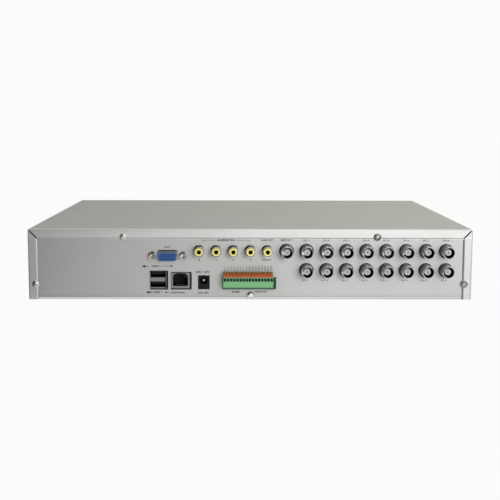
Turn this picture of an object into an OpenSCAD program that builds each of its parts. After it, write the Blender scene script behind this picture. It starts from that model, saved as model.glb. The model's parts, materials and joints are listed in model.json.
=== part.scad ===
// Desktop video recorder with coax, phono, monitor, network and terminal sockets at the rear.
// Millimetres. Z is up from the feet, the key front faces -Y and the sockets face +Y.

/* [Case] */
// Outside width of the cover
body_w = 360; // [354:1:420]
// Length of the cover from its front edge to the outside of its rear lips
cover_d = 282; // [276:1:340]
// Height of the case without its feet
body_h = 57.5; // [56:0.5:75]
// Thickness of the steel sheet
sheet = 1; // [0.8:0.1:1.2]
// Inside radius of the long bends
bend_r = 0.6; // [0.3:0.1:1]
// Width of the lips folded round the rear opening
lip_w = 7.8; // [7:0.1:9]
// Width of the open mitre between two lips
mitre_gap = 1.1; // [0.5:0.1:1.4]
// Clearance between sheets and round every cut-out
fit_gap = 0.3; // [0.2:0.05:0.4]
// Height of the tray's upturned sides
tray_side_h = 18; // [12:1:20]
// Height of the lip along the tray's rear edge
tray_lip_h = 2.3; // [2.1:0.1:2.6]
// Distance of the two upper cover screws from the middle
cover_screw_u = 102.5; // [90:0.5:125]
// Distance of the cover screws inside the inner edge of the lips
lip_screw_in = 1.6; // [1.2:0.1:2.2]
// Height of the two side cover screws above the case bottom
side_screw_h = 12.7; // [10:0.1:20]
// Height of the lowest screw above the case bottom
base_screw_h = 3.4; // [3.3:0.1:4.2]
// Radius of a screw's shank
screw_r = 1.4; // [1.2:0.05:1.5]
// Radius of a screw's head
screw_head_r = 2.9; // [2.6:0.1:3.1]
// Length of a screw's shank
screw_len = 5; // [4.5:0.1:5.5]

/* [Feet] */
// Height of the rubber feet
foot_h = 6; // [5:0.5:12]
// Diameter of the rubber feet
foot_d = 18; // [14:0.5:24]
// Distance of the foot centres from the sides and ends of the cover
foot_inset = 44; // [40:1:60]

/* [Vents] */
// Number of slots in each side of the cover
vent_count = 14; // [4:1:20]
// Distance between neighbouring slots
vent_pitch = 9; // [6:0.5:10]
// Width of one slot
vent_w = 3; // [2:0.5:4]
// Height of one slot
vent_h = 22; // [12:1:26]

/* [Front] */
// Depth of the moulded bezel
bezel_d = 18; // [17:0.5:24]
// Wall thickness of the bezel
bezel_wall = 2.2; // [1.8:0.1:2.6]
// Step from the cover's top down to the bezel
bezel_step = 1.2; // [0.8:0.1:3]
// Fall of the bezel's top towards the front, in degrees
bezel_slope = 6; // [5:1:9]
// Radius of the bezel's front edges
bezel_edge_r = 4; // [3.5:0.5:5]
// Distance of the arrow pad from the end of the bezel
pad_in = 72; // [68:1:80]
// Distance of the arrow keys from the enter key
pad_r = 14.5; // [14:0.1:15]
// Diameter of the enter key
enter_d = 11; // [9:0.5:11.5]
// Diameter of the arrow keys and the power key
key_d = 9; // [8:0.5:9.5]
// Height of the key faces in front of the bezel
key_proud = 1.2; // [1:0.1:2]
// Travel of a key
key_travel = 0.8; // [0.4:0.1:1]
// Width of the infrared window
window_w = 44; // [30:1:46]
// Height of the infrared window
window_h = 12; // [9:0.5:16]

/* [Sockets] */
// Height of the upper row of jacks above the case bottom
upper_h = 39.7; // [39:0.1:41]
// Height of the lower row of coax jacks above the case bottom
lower_h = 24; // [23:0.1:24.2]
// Distance of the last coax column from the end of the case
coax_end = 21.4; // [20:0.1:24]
// Distance between neighbouring coax jacks
coax_pitch = 16.2; // [15.6:0.1:16.5]
// Number of coax columns
coax_columns = 9; // [2:1:9]
// Length of a coax jack outside the panel
coax_len = 12.8; // [11.5:0.1:14]
// Diameter of the coax barrel
coax_barrel_d = 9.7; // [9.5:0.1:9.9]
// Turn of the two bayonet lugs from level, in degrees
lug_turn = 60; // [0:5:90]
// Distance from the last phono jack to the first coax column
phono_gap = 15.4; // [14:0.1:17]
// Distance between neighbouring phono jacks
phono_pitch = 13.8; // [13.2:0.1:14]
// Number of phono jacks
phono_count = 5; // [1:1:5]
// Length of a phono jack outside the panel
phono_len = 9; // [8:0.1:10.5]
// Bore of a phono jack
phono_bore_d = 3.3; // [3.2:0.05:3.4]
// Distance from the monitor socket to the first phono jack
monitor_gap = 25.7; // [24:0.1:27]
// Height of the monitor socket above the case bottom
monitor_h = 35.3; // [35:0.1:37]
// Distance between the two jackscrews
jackscrew_pitch = 25; // [24.9:0.1:25.4]
// Distance from the terminal strip to the first coax column
strip_gap = 31; // [29:0.5:33]
// Distance from the power jack to the terminal strip
power_gap = 36; // [34:0.5:38]
// Distance from the network socket to the power jack
network_gap = 18.7; // [17:0.1:20]
// Distance from the peripheral sockets to the network socket
stack_gap = 18; // [17:0.1:19]

/* [Terminal strip] */
// Number of wire positions
positions = 16; // [4:1:16]
// Distance between wire positions
position_pitch = 2.5; // [2.5:0.01:2.54]
// Length of the plug outside the panel
plug_len = 9; // [8:0.1:10]
// Travel of a push lever
lever_travel = 1.5; // [0.8:0.1:1.6]
// Width of a push lever
lever_w = 2.2; // [1.9:0.05:2.25]

/* [Inside] */
// Height of the main board's top above the case bottom
board_h = 8.5; // [8:0.1:9.5]
// Thickness of the circuit boards
pcb_t = 1.6; // [1.2:0.1:1.7]
// Width of the main board beyond each end of the jack board
main_side = 4.5; // [3:0.5:6]
// Depth of the main board
main_d = 120; // [90:1:124]
// Length of the hard drive
drive_l = 146; // [140:0.5:147]
// Width of the hard drive
drive_w = 101.6; // [100:0.1:102]
// Thickness of the hard drive
drive_t = 26.1; // [19:0.1:26.1]
// Distance of the hard drive from the tray's side
drive_side = 22; // [20:0.5:28]
// Distance of the hard drive from the wall behind the bezel
drive_front = 14.2; // [13:0.1:20]
// Length of the end tabs of the drive bracket
tab_l = 14; // [12:0.5:16]
// Width of the processor
chip_w = 27; // [20:0.5:30]
// Distance of the processor from the rear edge of the main board
chip_in = 64; // [60:1:70]
// Width of the heat sink
sink_w = 38; // [32:0.5:42]
// Height of the heat sink
sink_h = 14; // [8:0.5:20]

/* [Output] */
// Part to draw, or all

/* [Hidden] */
$fn = 48;
snug = 0.05;
body_z = foot_h;
lip_y = (cover_d + bezel_d + key_proud + sheet - coax_len) / 2;
panel_y = lip_y - sheet;
inner_y = panel_y - sheet;
front_y = lip_y - cover_d;
face_y = front_y - bezel_d;
tray_w = body_w - 2 * sheet - 2 * fit_gap;
wall_h = body_h - sheet - fit_gap;
fold_r = bend_r + sheet;
rolled_r = 0.9 * sheet;
plate_corner = 1.5 * lip_w;
mid_h = body_h / 2;
side_screw_u = body_w / 2 - lip_w + lip_screw_in;
top_screw_h = body_h - lip_w + lip_screw_in;
screw_hole_r = screw_r + 0.1;
upright_z = -11;
coax_u = body_w / 2 - coax_end - (coax_columns - 1) * coax_pitch;
phono_u = coax_u - phono_gap - (phono_count - 1) * phono_pitch;
monitor_u = phono_u - monitor_gap;
strip_u = coax_u - strip_gap;
power_u = strip_u - power_gap;
network_u = power_u - network_gap;
stack_u = network_u - stack_gap;

case_grey = [0.66, 0.67, 0.66];
plated = [0.72, 0.72, 0.74];
black = [0.05, 0.05, 0.06];
charcoal = [0.12, 0.12, 0.13];
board_green = [0.05, 0.3, 0.15];
plug_green = [0.1, 0.55, 0.25];
header_green = [0.06, 0.35, 0.16];
brass = [0.8, 0.65, 0.3];

// Puts a child on the rear panel, x to the right and y up as seen from behind, z out of the panel
module on_rear(u, h) {
  translate([-u, panel_y, body_z + h])
    rotate([90, 0, 180])
      children();
}

// Puts a child on the bezel's face, x to the right and y up as seen from the front, z out of the face
module on_front(u, h) {
  translate([u, face_y, body_z + h])
    rotate([90, 0, 0])
      children();
}

// Extrudes a section drawn with x to the front and y up, over the whole width w
module across(w) {
  translate([0, front_y, body_z])
    rotate([90, 0, -90])
      linear_extrude(w, center = true)
        children();
}

// Rectangle on the x axis with its two upper corners rounded
module arch(w, h, r) {
  translate([-w / 2, 0])
    square([w, h - r]);
  translate([r - w / 2, 0])
    square([w - 2 * r, h]);
  for (s = [-1, 1])
    translate([s * (w / 2 - r), h - r])
      circle(r);
}

// Upright slot with round ends
module slot(w, h) {
  square([w, h - w], center = true);
  for (s = [-1, 1])
    translate([0, s * (h - w) / 2])
      circle(w / 2);
}

// Rectangle on the x axis, centred in x
module rect(w, h) {
  translate([-w / 2, 0])
    square([w, h]);
}

// Box centred in x, from y0 to y1 and from z0 to z1
module block(w, y0, y1, z0, z1) {
  translate([-w / 2, y0, z0])
    cube([w, y1 - y0, z1 - z0]);
}

// Round rod along z from z0 to z1
module rod(r, z0, z1) {
  translate([0, 0, z0])
    cylinder(r = r, h = z1 - z0);
}

// Section of a D-shaped socket, wide side up, drawn in by the inset and stretched upward
module d_section(inset, rise = 0) {
  hull()
    for (s = [-1, 1]) {
      translate([s * 6.45, 1.9 + rise])
        circle(1.6 - inset, $fn = 32);
      translate([s * 5.7, -1.9])
        circle(1.6 - inset, $fn = 32);
    }
}

// Pan-head screw with a cross recess, seated at z = 0 with its shank below
module pan_screw() {
  difference() {
    union() {
      rod(screw_r, -screw_len, 0.1);
      intersection() {
        rod(screw_head_r, 0, 2.2);
        translate([0, 0, -1.5])
          sphere(3.7);
      }
    }
    block(3.2, -0.4, 0.4, 1.1, 3);
    rotate([0, 0, 90])
      block(3.2, -0.4, 0.4, 1.1, 3);
  }
}

// Points of one edge of a band: each step is a straight run, a bend radius and a turn in degrees
function edge_points(steps, p, a, s, i = 0) =
  i == len(steps) ? [] :
  let (
    q = p + steps[i][0] * [cos(a), sin(a)],
    turn = steps[i][2],
    side = sign(turn),
    r = steps[i][1] - s * side,
    c = q + r * side * [-sin(a), cos(a)],
    bend = [for (k = [1:6]) c + r * side * [sin(a + turn * k / 6), -cos(a + turn * k / 6)]],
    last = turn == 0 ? q : bend[5]
  )
  concat([q], turn == 0 ? [] : bend, edge_points(steps, last, a + turn, s, i + 1));

// Flat band of thickness t that starts at the origin along x and follows the steps
module band(steps, t) {
  left = edge_points(steps, [0, t / 2], 0, t / 2);
  right = edge_points(steps, [0, -t / 2], 0, -t / 2);
  n = len(right);
  polygon(concat([[0, t / 2]], left, [for (k = [1:n]) right[n - k]], [[0, -t / 2]]));
}

// Folded sheet cover: top, two sides and the mitred lips round the rear opening
module top_cover() {
  color(case_grey)
    difference() {
      intersection() {
        union() {
          translate([0, lip_y, body_z])
            rotate([90, 0, 0])
              linear_extrude(cover_d)
                difference() {
                  arch(body_w, body_h, fold_r);
                  translate([0, -1])
                    arch(body_w - 2 * sheet, body_h - sheet + 1, bend_r);
                }
          translate([0, lip_y, body_z])
            rotate([90, 0, 0])
              linear_extrude(sheet)
                difference() {
                  arch(body_w, body_h, fold_r);
                  translate([0, -1])
                    rect(body_w - 2 * lip_w, body_h - lip_w + 1);
                }
        }
        translate([0, front_y, body_z - 1])
          linear_extrude(body_h + 2)
            arch(body_w, cover_d, fold_r);
        across(body_w + 2)
          translate([0, -1])
            arch(2 * cover_d, body_h + 1, fold_r);
      }
      for (s = [-1, 1]) {
        on_rear(s * (body_w - lip_w) / 2, body_h - lip_w / 2)
          rotate([0, 0, s * 45])
            block(lip_w * 1.6, -mitre_gap / 2, mitre_gap / 2, -0.01, sheet + 1);
        on_rear(s * cover_screw_u, top_screw_h) {
          rod(screw_hole_r + 0.2, -1, sheet + 1);
          block(2 * screw_hole_r + 0.4, -lip_w, 0, -1, sheet + 1);
        }
        on_rear(s * side_screw_u, side_screw_h) {
          rod(screw_hole_r + 0.2, -1, sheet + 1);
          rotate([0, 0, s * 90])
            block(2 * screw_hole_r + 0.4, 0, lip_w, -1, sheet + 1);
        }
        on_rear(s * (body_w / 2 - lip_w), -1)
          translate([0, 0, sheet])
            rotate([-90, 0, 0])
              edge_cutter(s, body_h - lip_w + 1.3);
      }
      on_rear(body_w / 2 - lip_w + 0.3, body_h - lip_w)
        translate([0, 0, sheet])
          rotate([-90, 0, 90])
            edge_cutter(1, body_w - 2 * lip_w + 0.6);
      for (i = [0:vent_count - 1])
        across(body_w + 2)
          translate([(i - (vent_count - 1) / 2) * vent_pitch - cover_d / 2, mid_h + 4])
            slot(vent_w, vent_h);
    }
}

// Prism along z that rounds the inner edge of a lip, which lies on the side s of x
module edge_cutter(s, l) {
  corner = concat(
    [[-0.3, -1], [rolled_r, -1]],
    arc([rolled_r, rolled_r], rolled_r, 270, 180),
    [[-0.3, rolled_r]]
  );
  linear_extrude(l)
    polygon([for (p = corner) [s * p[0], p[1]]]);
}

// Bottom tray with upturned sides, the wall behind the bezel and a rounded lip round the plate's foot
module base_tray() {
  color(case_grey)
    difference() {
      union() {
        translate([0, inner_y, body_z + tray_side_h])
          rotate([-90, 0, 180])
            linear_extrude(inner_y - front_y)
              difference() {
                arch(tray_w, tray_side_h, fold_r);
                translate([0, -1])
                  arch(tray_w - 2 * sheet, tray_side_h - sheet + 1, bend_r);
              }
        translate([0, front_y, body_z])
          block(tray_w - 2 * fold_r, 0, sheet, 0, wall_h);
        across(body_w - 2 * lip_w - 2 * fit_gap)
          tray_lip();
        on_rear(0, base_screw_h)
          intersection() {
            rod(screw_head_r + 0.2, 0, sheet);
            block(4 * screw_head_r, fold_r - base_screw_h, 2 * screw_head_r, -1, sheet + 1);
          }
      }
      foot_places()
        rod(3, -1, sheet + 1);
      on_rear(0, base_screw_h)
        rod(screw_hole_r, -1, sheet + 1);
      translate([ribbon_x, front_y, body_z + ribbon_h])
        block(ribbon_w + 6, -1, sheet + 1, -4, 4);
      for (x = hook_x, top = [0, 1])
        translate([x, front_y, body_z + hook_h(top)])
          block(hook_w + 2 * fit_gap, -1, sheet + 1, -hook_t / 2 - fit_gap, hook_t / 2 + fit_gap);
    }
}

// Side section of the tray's rear lip
module tray_lip() {
  c = [fold_r - cover_d, fold_r];
  top = max(tray_lip_h, fold_r + 0.1);
  polygon(concat(
    [[fold_r + 2 * sheet - cover_d, 0]],
    arc(c, fold_r, 270, 180),
    [[-cover_d, top], [sheet - cover_d, top]],
    arc(c, bend_r, 180, 270),
    [[fold_r + 2 * sheet - cover_d, sheet]]
  ));
}

// Flat rear plate with a cut-out for every socket, its upper corners cut off behind the mitres
module rear_panel() {
  color(case_grey)
    difference() {
      on_rear(0, 0)
        translate([0, 0, -sheet])
          linear_extrude(sheet)
            polygon([[-tray_w / 2, fold_r + fit_gap], [tray_w / 2, fold_r + fit_gap],
              [tray_w / 2, wall_h - plate_corner], [tray_w / 2 - plate_corner, wall_h],
              [plate_corner - tray_w / 2, wall_h], [-tray_w / 2, wall_h - plate_corner]]);
      coax_places()
        rod(coax_hole_r, -sheet - 1, 1);
      phono_places()
        rod(phono_boss_r + fit_gap, -sheet - 1, 1);
      on_rear(monitor_u, monitor_h) {
        translate([0, 0, -sheet - 1])
          linear_extrude(sheet + 2)
            d_section(-fit_gap - 0.2, 1.1);
        for (s = [-1, 1])
          translate([s * jackscrew_pitch / 2, 0.6])
            rod(jackscrew_r + 0.8, -sheet - 1, 1);
      }
      on_rear(stack_u + fit_gap, board_h)
        block(stack_w + 4 * fit_gap, -2 * fit_gap, stack_h + fit_gap, -sheet - 1, 1);
      on_rear(network_u + fit_gap, board_h)
        block(network_w + 4 * fit_gap, -2 * fit_gap, network_h + fit_gap, -sheet - 1, 1);
      on_rear(power_u, board_h)
        block(power_w + 2 * fit_gap, -fit_gap, power_h + fit_gap, -sheet - 1, 1);
      on_rear(strip_u, board_h)
        block(header_w + 2 * fit_gap, -fit_gap, header_h + fit_gap, -sheet - 1, 1);
      end_place()
        block(end_w + 2 * fit_gap, end_low - fit_gap, end_high + fit_gap, -sheet - 1, 1);
      screw_places()
        rod(screw_hole_r, -2 * sheet - 2, 1);
      on_rear(0, 0)
        block(2 * screw_hole_r, 0, base_screw_h, -sheet - 1, 1);
    }
}

// Places of the five case screws: two upper, two side and one at the bottom
module screw_places() {
  for (p = [[-cover_screw_u, top_screw_h], [cover_screw_u, top_screw_h], [0, base_screw_h],
      [-side_screw_u, side_screw_h], [side_screw_u, side_screw_h]])
    on_rear(p[0], p[1])
      translate([0, 0, sheet])
        children();
}

// Five screws that hold the cover and the rear plate
module case_screws() {
  color(plated)
    screw_places()
      pan_screw();
}

// Places of the four feet
module foot_places() {
  for (sx = [-1, 1], y = [front_y + foot_inset, lip_y - foot_inset])
    translate([sx * (body_w / 2 - foot_inset), y, body_z])
      children();
}

// Push-in rubber feet: tread, neck through the tray and head inside it
module feet() {
  color(black)
    foot_places()
      rotate_extrude()
        polygon([[0, -foot_h], [foot_d / 2 - 2, -foot_h], [foot_d / 2 - 0.5, 1 - foot_h], [foot_d / 2, 0],
          [2.8, 0], [2.8, sheet + 0.2], [3.8, sheet + 0.2], [2.4, sheet + 2.4], [0, sheet + 2.4]]);
}

hook_x = [for (k = [-3:2:3]) k * (body_w / 2 - 30) / 3];
hook_w = 10;
hook_t = 2.4;
function hook_h(top) = top ? body_h - bezel_step - bezel_wall - 1.4 : bezel_foot + bezel_wall + 1;
bezel_foot = 0.6;
bezel_rise = 2;
arc_x = bezel_d - bezel_edge_r;
arc_top = body_h - bezel_step - tan(bezel_slope) * arc_x - bezel_edge_r / cos(bezel_slope);
arc_low = bezel_foot + tan(bezel_rise) * arc_x + bezel_edge_r / cos(bezel_rise);

// Points on an arc about c from angle a to angle b
function arc(c, r, a, b) = [for (k = [0:10]) c + r * [cos(a + (b - a) * k / 10), sin(a + (b - a) * k / 10)]];

// Side section of the bezel, drawn in by the inset and carried back behind its rim
module bezel_section(inset, back) {
  r = bezel_edge_r - inset;
  polygon(concat(
    [[-back, body_h - bezel_step + tan(bezel_slope) * back - inset / cos(bezel_slope)]],
    arc([arc_x, arc_top], r, 90 - bezel_slope, 0),
    arc([arc_x, arc_low], r, 0, bezel_rise - 90),
    [[-back, bezel_foot - tan(bezel_rise) * back + inset / cos(bezel_rise)]]
  ));
}

front_board_z = -bezel_wall - 7;
front_board_w = 156;
front_board_h = 40;
pad_u = body_w / 2 - pad_in;
front_board_u = pad_u - 15;
power_key_u = pad_u + 42;
window_u = pad_u - 67;
lens_u = [pad_u - 40, pad_u - 34, pad_u - 28];
lens_r = 1.5;

// Places of the four bosses that carry the front board
module boss_places() {
  for (sx = [-1, 1], sy = [-1, 1])
    on_front(front_board_u + sx * (front_board_w / 2 - 5), mid_h + sy * (front_board_h / 2 - 5))
      children();
}

// Moulded front bezel with key holes, window seat, light holes, bosses and snap hooks
module front_bezel() {
  color(charcoal)
    difference() {
      union() {
        difference() {
          intersection() {
            across(body_w)
              bezel_section(0, 0);
            translate([0, front_y, body_z])
              rotate([180, 0, 0])
                linear_extrude(3 * body_h, center = true)
                  arch(body_w, bezel_d, 5);
          }
          across(body_w - 2 * bezel_wall)
            bezel_section(bezel_wall, 1);
        }
        boss_places()
          rod(3.2, front_board_z, -bezel_wall / 2);
        for (x = hook_x, top = [0, 1])
          translate([x, front_y, body_z + hook_h(top)]) {
            block(hook_w, -7, sheet + 2, -hook_t / 2, hook_t / 2);
            block(hook_w, -7, -0.5, top ? 0 : -2.4, top ? 2.4 : 0);
            block(hook_w, sheet + 0.2, sheet + 2, top ? 0 : -1.9, top ? 1.9 : 0);
          }
      }
      boss_places()
        rod(screw_hole_r, front_board_z - 1, -bezel_wall - 0.8);
      key_places()
        rod($key_r + fit_gap, -bezel_wall - 1, 1);
      on_front(window_u, mid_h) {
        block(window_w + 0.2, -window_h / 2 - 0.1, window_h / 2 + 0.1, -1.5, 1);
        block(window_w - 4, 2 - window_h / 2, window_h / 2 - 2, -bezel_wall - 1, 1);
      }
      for (u = lens_u)
        on_front(u, mid_h)
          rod(lens_r + 0.1, -bezel_wall - 1, 1);
    }
}

// Smoked window over the infrared receiver
module infrared_window() {
  color([0.15, 0.03, 0.05])
    on_front(window_u, mid_h)
      block(window_w, -window_h / 2, window_h / 2, -1.5, 0.2);
}

// Three light pipes from the front board to the bezel's face
module light_pipes() {
  color([0.85, 0.9, 0.85])
    for (u = lens_u)
      on_front(u, mid_h) {
        rod(lens_r, front_board_z, 0.4);
        rod(lens_r + 0.8, -bezel_wall - 1, -bezel_wall);
      }
}

switch_w = 6;
switch_h = 4.2;
key_names = ["power", "enter", "left", "right", "up", "down"];
key_u = [power_key_u, pad_u, pad_u - pad_r, pad_u + pad_r, pad_u, pad_u];
key_h = [mid_h, mid_h, mid_h, mid_h, mid_h + pad_r, mid_h - pad_r];

// Place of one key, with its radius
module key_place(i) {
  $key_r = i == 1 ? enter_d / 2 : key_d / 2;
  on_front(key_u[i], key_h[i])
    children();
}

// Places of every key
module key_places() {
  for (i = [0:5])
    key_place(i)
      children();
}

// One key: dished face, collar behind the bezel and stem into its switch
module key(i) {
  color(i == 0 ? [0.6, 0.1, 0.1] : [0.6, 0.6, 0.62])
    key_place(i)
      difference() {
        union() {
          rod($key_r, -bezel_wall - 0.6, key_proud);
          rod($key_r + 0.9, -bezel_wall - 1.5, -bezel_wall - 0.2);
          rod(1.6, front_board_z + 2.9, -bezel_wall - 1);
        }
        translate([0, 0, key_proud + 2.5 * $key_r - 0.4])
          sphere(2.5 * $key_r);
      }
}

// Six key switches, each with a well for the stem
module key_switches() {
  color(black)
    key_places()
      difference() {
        block(switch_w, -switch_w / 2, switch_w / 2, front_board_z, front_board_z + switch_h);
        rod(1.9, front_board_z + 2.7 - key_travel, front_board_z + switch_h + 1);
      }
}

// Circuit board behind the front keys
module front_board() {
  color(board_green)
    difference() {
      on_front(front_board_u, mid_h)
        block(front_board_w, -front_board_h / 2, front_board_h / 2, front_board_z - pcb_t, front_board_z);
      boss_places()
        rod(screw_hole_r + 0.1, front_board_z - pcb_t - 1, front_board_z + 1);
    }
}

coax_r = coax_barrel_d / 2;
coax_hole_r = coax_r + 1.1;
coax_bore_r = coax_r - 0.55;
coax_core_r = 2.6;
coax_pin_r = 0.8;
coax_recess = 3.4;

// Places of the coax jacks: the lower row leaves out the first column
module coax_places() {
  for (i = [0:coax_columns - 1]) {
    on_rear(coax_u + i * coax_pitch, upper_h)
      children();
    if (i > 0)
      on_rear(coax_u + i * coax_pitch, lower_h)
        children();
  }
}

// Plated bayonet barrels with two lugs each
module coax_barrels() {
  color(plated)
    coax_places()
      difference() {
        union() {
          rotate_extrude()
            polygon([[0, -6], [coax_r, -6], [coax_r, coax_len - 0.4], [coax_r - 0.4, coax_len],
              [0, coax_len]]);
          rotate([0, 0, lug_turn])
            translate([0, 0, coax_len - 3.4])
              rotate([0, 90, 0])
                rod(1, -coax_r - 0.8, coax_r + 0.8);
        }
        rod(coax_bore_r, -3, coax_len + 1);
        rod(coax_core_r + snug, -7, coax_len);
      }
}

// Black blocks that carry the coax jacks between the panel and the upright board
module coax_housings() {
  color(black)
    coax_places()
      difference() {
        block(14.4, -7.2, 7.2, upright_z, -sheet);
        rod(coax_r + snug, -6, 0);
        rod(coax_core_r + snug, upright_z - 1, -5);
      }
}

// White insulators inside the coax barrels
module coax_insulators() {
  color([0.9, 0.9, 0.88])
    coax_places()
      difference() {
        rod(coax_core_r, upright_z, coax_len - coax_recess);
        rod(coax_pin_r + snug, upright_z - 1, coax_len);
      }
}

// Centre contacts with a socket in front and a tail through the upright board
module coax_contacts() {
  color(brass)
    coax_places()
      difference() {
        union() {
          rod(coax_pin_r, upright_z, coax_len - coax_recess - 0.2);
          rod(0.5, upright_z - pcb_t - 1.2, upright_z + 0.1);
        }
        rod(0.5, coax_len - coax_recess - 6, coax_len);
      }
}

phono_block_w = 11.4;
phono_block_h = 12.4;
phono_boss_r = 4.6;
phono_collar_r = 4.1;
phono_core_r = 3.7;

// Places of the phono jacks
module phono_places() {
  for (i = [0:phono_count - 1])
    on_rear(phono_u + i * phono_pitch, upper_h)
      children();
}

// Black housings of the phono jacks with a boss through the panel
module phono_housings() {
  color(black)
    phono_places()
      difference() {
        union() {
          block(phono_block_w, -phono_block_h / 2, phono_block_h / 2, upright_z, -sheet);
          rod(phono_boss_r, -sheet - 0.1, 0.5);
        }
        rod(phono_collar_r + snug, -6, 2);
      }
}

// Plated collars of the phono jacks
module phono_collars() {
  color(plated)
    phono_places()
      difference() {
        rod(phono_collar_r, -6, phono_len);
        rod(phono_core_r + snug, -7, phono_len + 1);
      }
}

// Yellow inserts of the phono jacks, with the bore for the plug's pin
module phono_inserts() {
  color([0.9, 0.85, 0.2])
    phono_places()
      difference() {
        rotate_extrude()
          polygon([[0, -6], [phono_core_r, -6], [phono_core_r, phono_len - 0.5],
            [phono_core_r - 0.6, phono_len], [0, phono_len]]);
        rod(phono_bore_d / 2, phono_len - 13, phono_len + 1);
      }
}

jackscrew_r = 2.6;

// Plated flange and shell of the monitor socket
module monitor_shell() {
  color(plated)
    on_rear(monitor_u, monitor_h)
      difference() {
        union() {
          block(jackscrew_pitch + 6, -4.2, 4.2, -sheet - 0.8, -sheet);
          translate([0, 0, -sheet - 0.8])
            linear_extrude(sheet + 6)
              d_section(0);
        }
        translate([0, 0, -sheet - 2])
          linear_extrude(sheet + 10)
            d_section(0.4);
        for (s = [-1, 1])
          translate([s * jackscrew_pitch / 2, 0])
            rod(1.6, -sheet - 2, 1);
      }
}

// Blue insert of the monitor socket with three rows of five contact holes
module monitor_insert() {
  color([0.1, 0.25, 0.75])
    on_rear(monitor_u, monitor_h)
      difference() {
        union() {
          translate([0, 0, -sheet - 1])
            linear_extrude(sheet + 5.8)
              d_section(0.4 + snug);
          block(19, -5.4, 4, upright_z, -sheet - 0.8);
        }
        for (row = [-1, 0, 1], k = [-2:2])
          translate([k * 2.29 + (row == 0 ? -0.6 : 0.55), row * 1.98, 0])
            rod(0.5, 0.5, 6);
      }
}

// Hexagonal jackscrews beside the monitor socket
module jackscrews() {
  color(plated)
    on_rear(monitor_u, monitor_h)
      for (s = [-1, 1])
        translate([s * jackscrew_pitch / 2, 0])
          difference() {
            union() {
              translate([0, 0, -sheet])
                cylinder(r = jackscrew_r, h = sheet + 5, $fn = 6);
              rod(1.45, -6, 0);
            }
            rod(1.25, 0.5, 6);
          }
}

stack_w = 13.7;
stack_h = 14.7;
port_w = 12.1;
port_h = 4.6;
port_low = [1.6, 9.7];
port_shift = -0.4;

// Shell of the stacked peripheral sockets
module stack_shell() {
  color(plated)
    on_rear(stack_u, board_h)
      difference() {
        block(stack_w, 0, stack_h, -16.6, 0.8);
        for (y = port_low)
          translate([port_shift, 0])
            block(port_w, y, y + port_h, -11.2, 2);
      }
}

// Contact tongues of the stacked peripheral sockets
module stack_tongues() {
  color(black)
    on_rear(stack_u, board_h)
      for (y = port_low)
        translate([port_shift, 0])
          block(port_w - 1.4, y + port_h / 2 + 0.1, y + port_h - 0.5, -11.2, -2.4);
}

network_w = 15.8;
network_h = 13.6;
mouth_shift = -0.3;
mouth_low = 2.5;

// Plated shield round the network socket, open at its back and with an arched mouth in front
module network_shield() {
  color(plated)
    on_rear(network_u, board_h)
      difference() {
        block(network_w, 0, network_h, -20, 0.8);
        block(network_w - 0.8, 0.4, network_h - 0.4, -21, 0.4);
        translate([mouth_shift, mouth_low, 0])
          linear_extrude(2)
            arch(12.1, network_h - mouth_low - 0.6, 3);
      }
}

// Black insert of the network socket, its latch step at the top
module network_insert() {
  color(black)
    on_rear(network_u, board_h)
      difference() {
        block(network_w - 0.9, 0.45, network_h - 0.45, -19.6, 0.35);
        translate([mouth_shift, mouth_low, 0]) {
          block(11.7, 0.2, 6.9, -12, 2);
          block(6.4, 6.8, 8.8, -12, 2);
          block(3.6, 8.7, 10.1, -12, 2);
        }
      }
}

power_w = 8.9;
power_h = 10.9;
power_axis_h = 7;

// Housing of the low-voltage power jack
module power_housing() {
  color(black)
    on_rear(power_u, board_h)
      difference() {
        block(power_w, 0, power_h, -13.6, 0.6);
        translate([0, power_axis_h]) {
          rod(3.2, -9, 2);
          rod(1 + snug, -14, 2);
        }
      }
}

// Centre pin of the power jack
module power_pin() {
  color(plated)
    on_rear(power_u, board_h)
      translate([0, power_axis_h])
        rod(1, -13.6, -1.5);
}

plug_wall = 0.15;
plug_low = 1.6;
plug_w = positions * position_pitch + 2 * plug_wall;
nose_w = plug_w - 1;
nose_len = 8;
nose_low = 2;
nose_high = 8.4;
ledge_h = 10.8;
lever_h = 3.7;
lever_head_w = lever_w - 0.5;
lever_rear = 2.5 + lever_travel;
contact_h = 5.2;
header_wall = 0.6;
header_w = nose_w + 2 * fit_gap + 2 * header_wall;
header_h = nose_high + fit_gap + header_wall;
end_w = 2;
end_low = 1;
end_high = 9.3;

// Place of one wire position on the terminal strip
module position_place(i) {
  on_rear(strip_u + (i - (positions - 1) / 2) * position_pitch, board_h)
    children();
}

// Place of the header's end wall beside the plug
module end_place() {
  on_rear(strip_u + plug_w / 2 + fit_gap + end_w / 2, board_h)
    children();
}

// Shrouded header of the terminal strip on the main board, with one end wall beside the plug
module strip_header() {
  color(header_green)
    difference() {
      union() {
        on_rear(strip_u, board_h)
          difference() {
            block(header_w, 0, header_h, -nose_len - 1.8, 0.5);
            block(header_w - 2 * header_wall, nose_low - fit_gap, nose_high + fit_gap, -nose_len - 0.4, 2);
          }
        end_place()
          block(end_w, end_low, end_high, -nose_len, plug_len - 2.4);
      }
      for (i = [0:positions - 1])
        position_place(i)
          block(0.74, contact_h - 0.37, contact_h + 0.37, -nose_len - 3, 0);
    }
}

// Right-angled pins of the header, down through the main board
module strip_pins() {
  color(brass)
    for (i = [0:positions - 1])
      position_place(i) {
        block(0.64, contact_h - 0.32, contact_h + 0.32, -nose_len - 3.6, 2 - nose_len);
        block(0.64, -pcb_t - 1, contact_h, -nose_len - 3.6, -nose_len - 2.96);
      }
}

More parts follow.
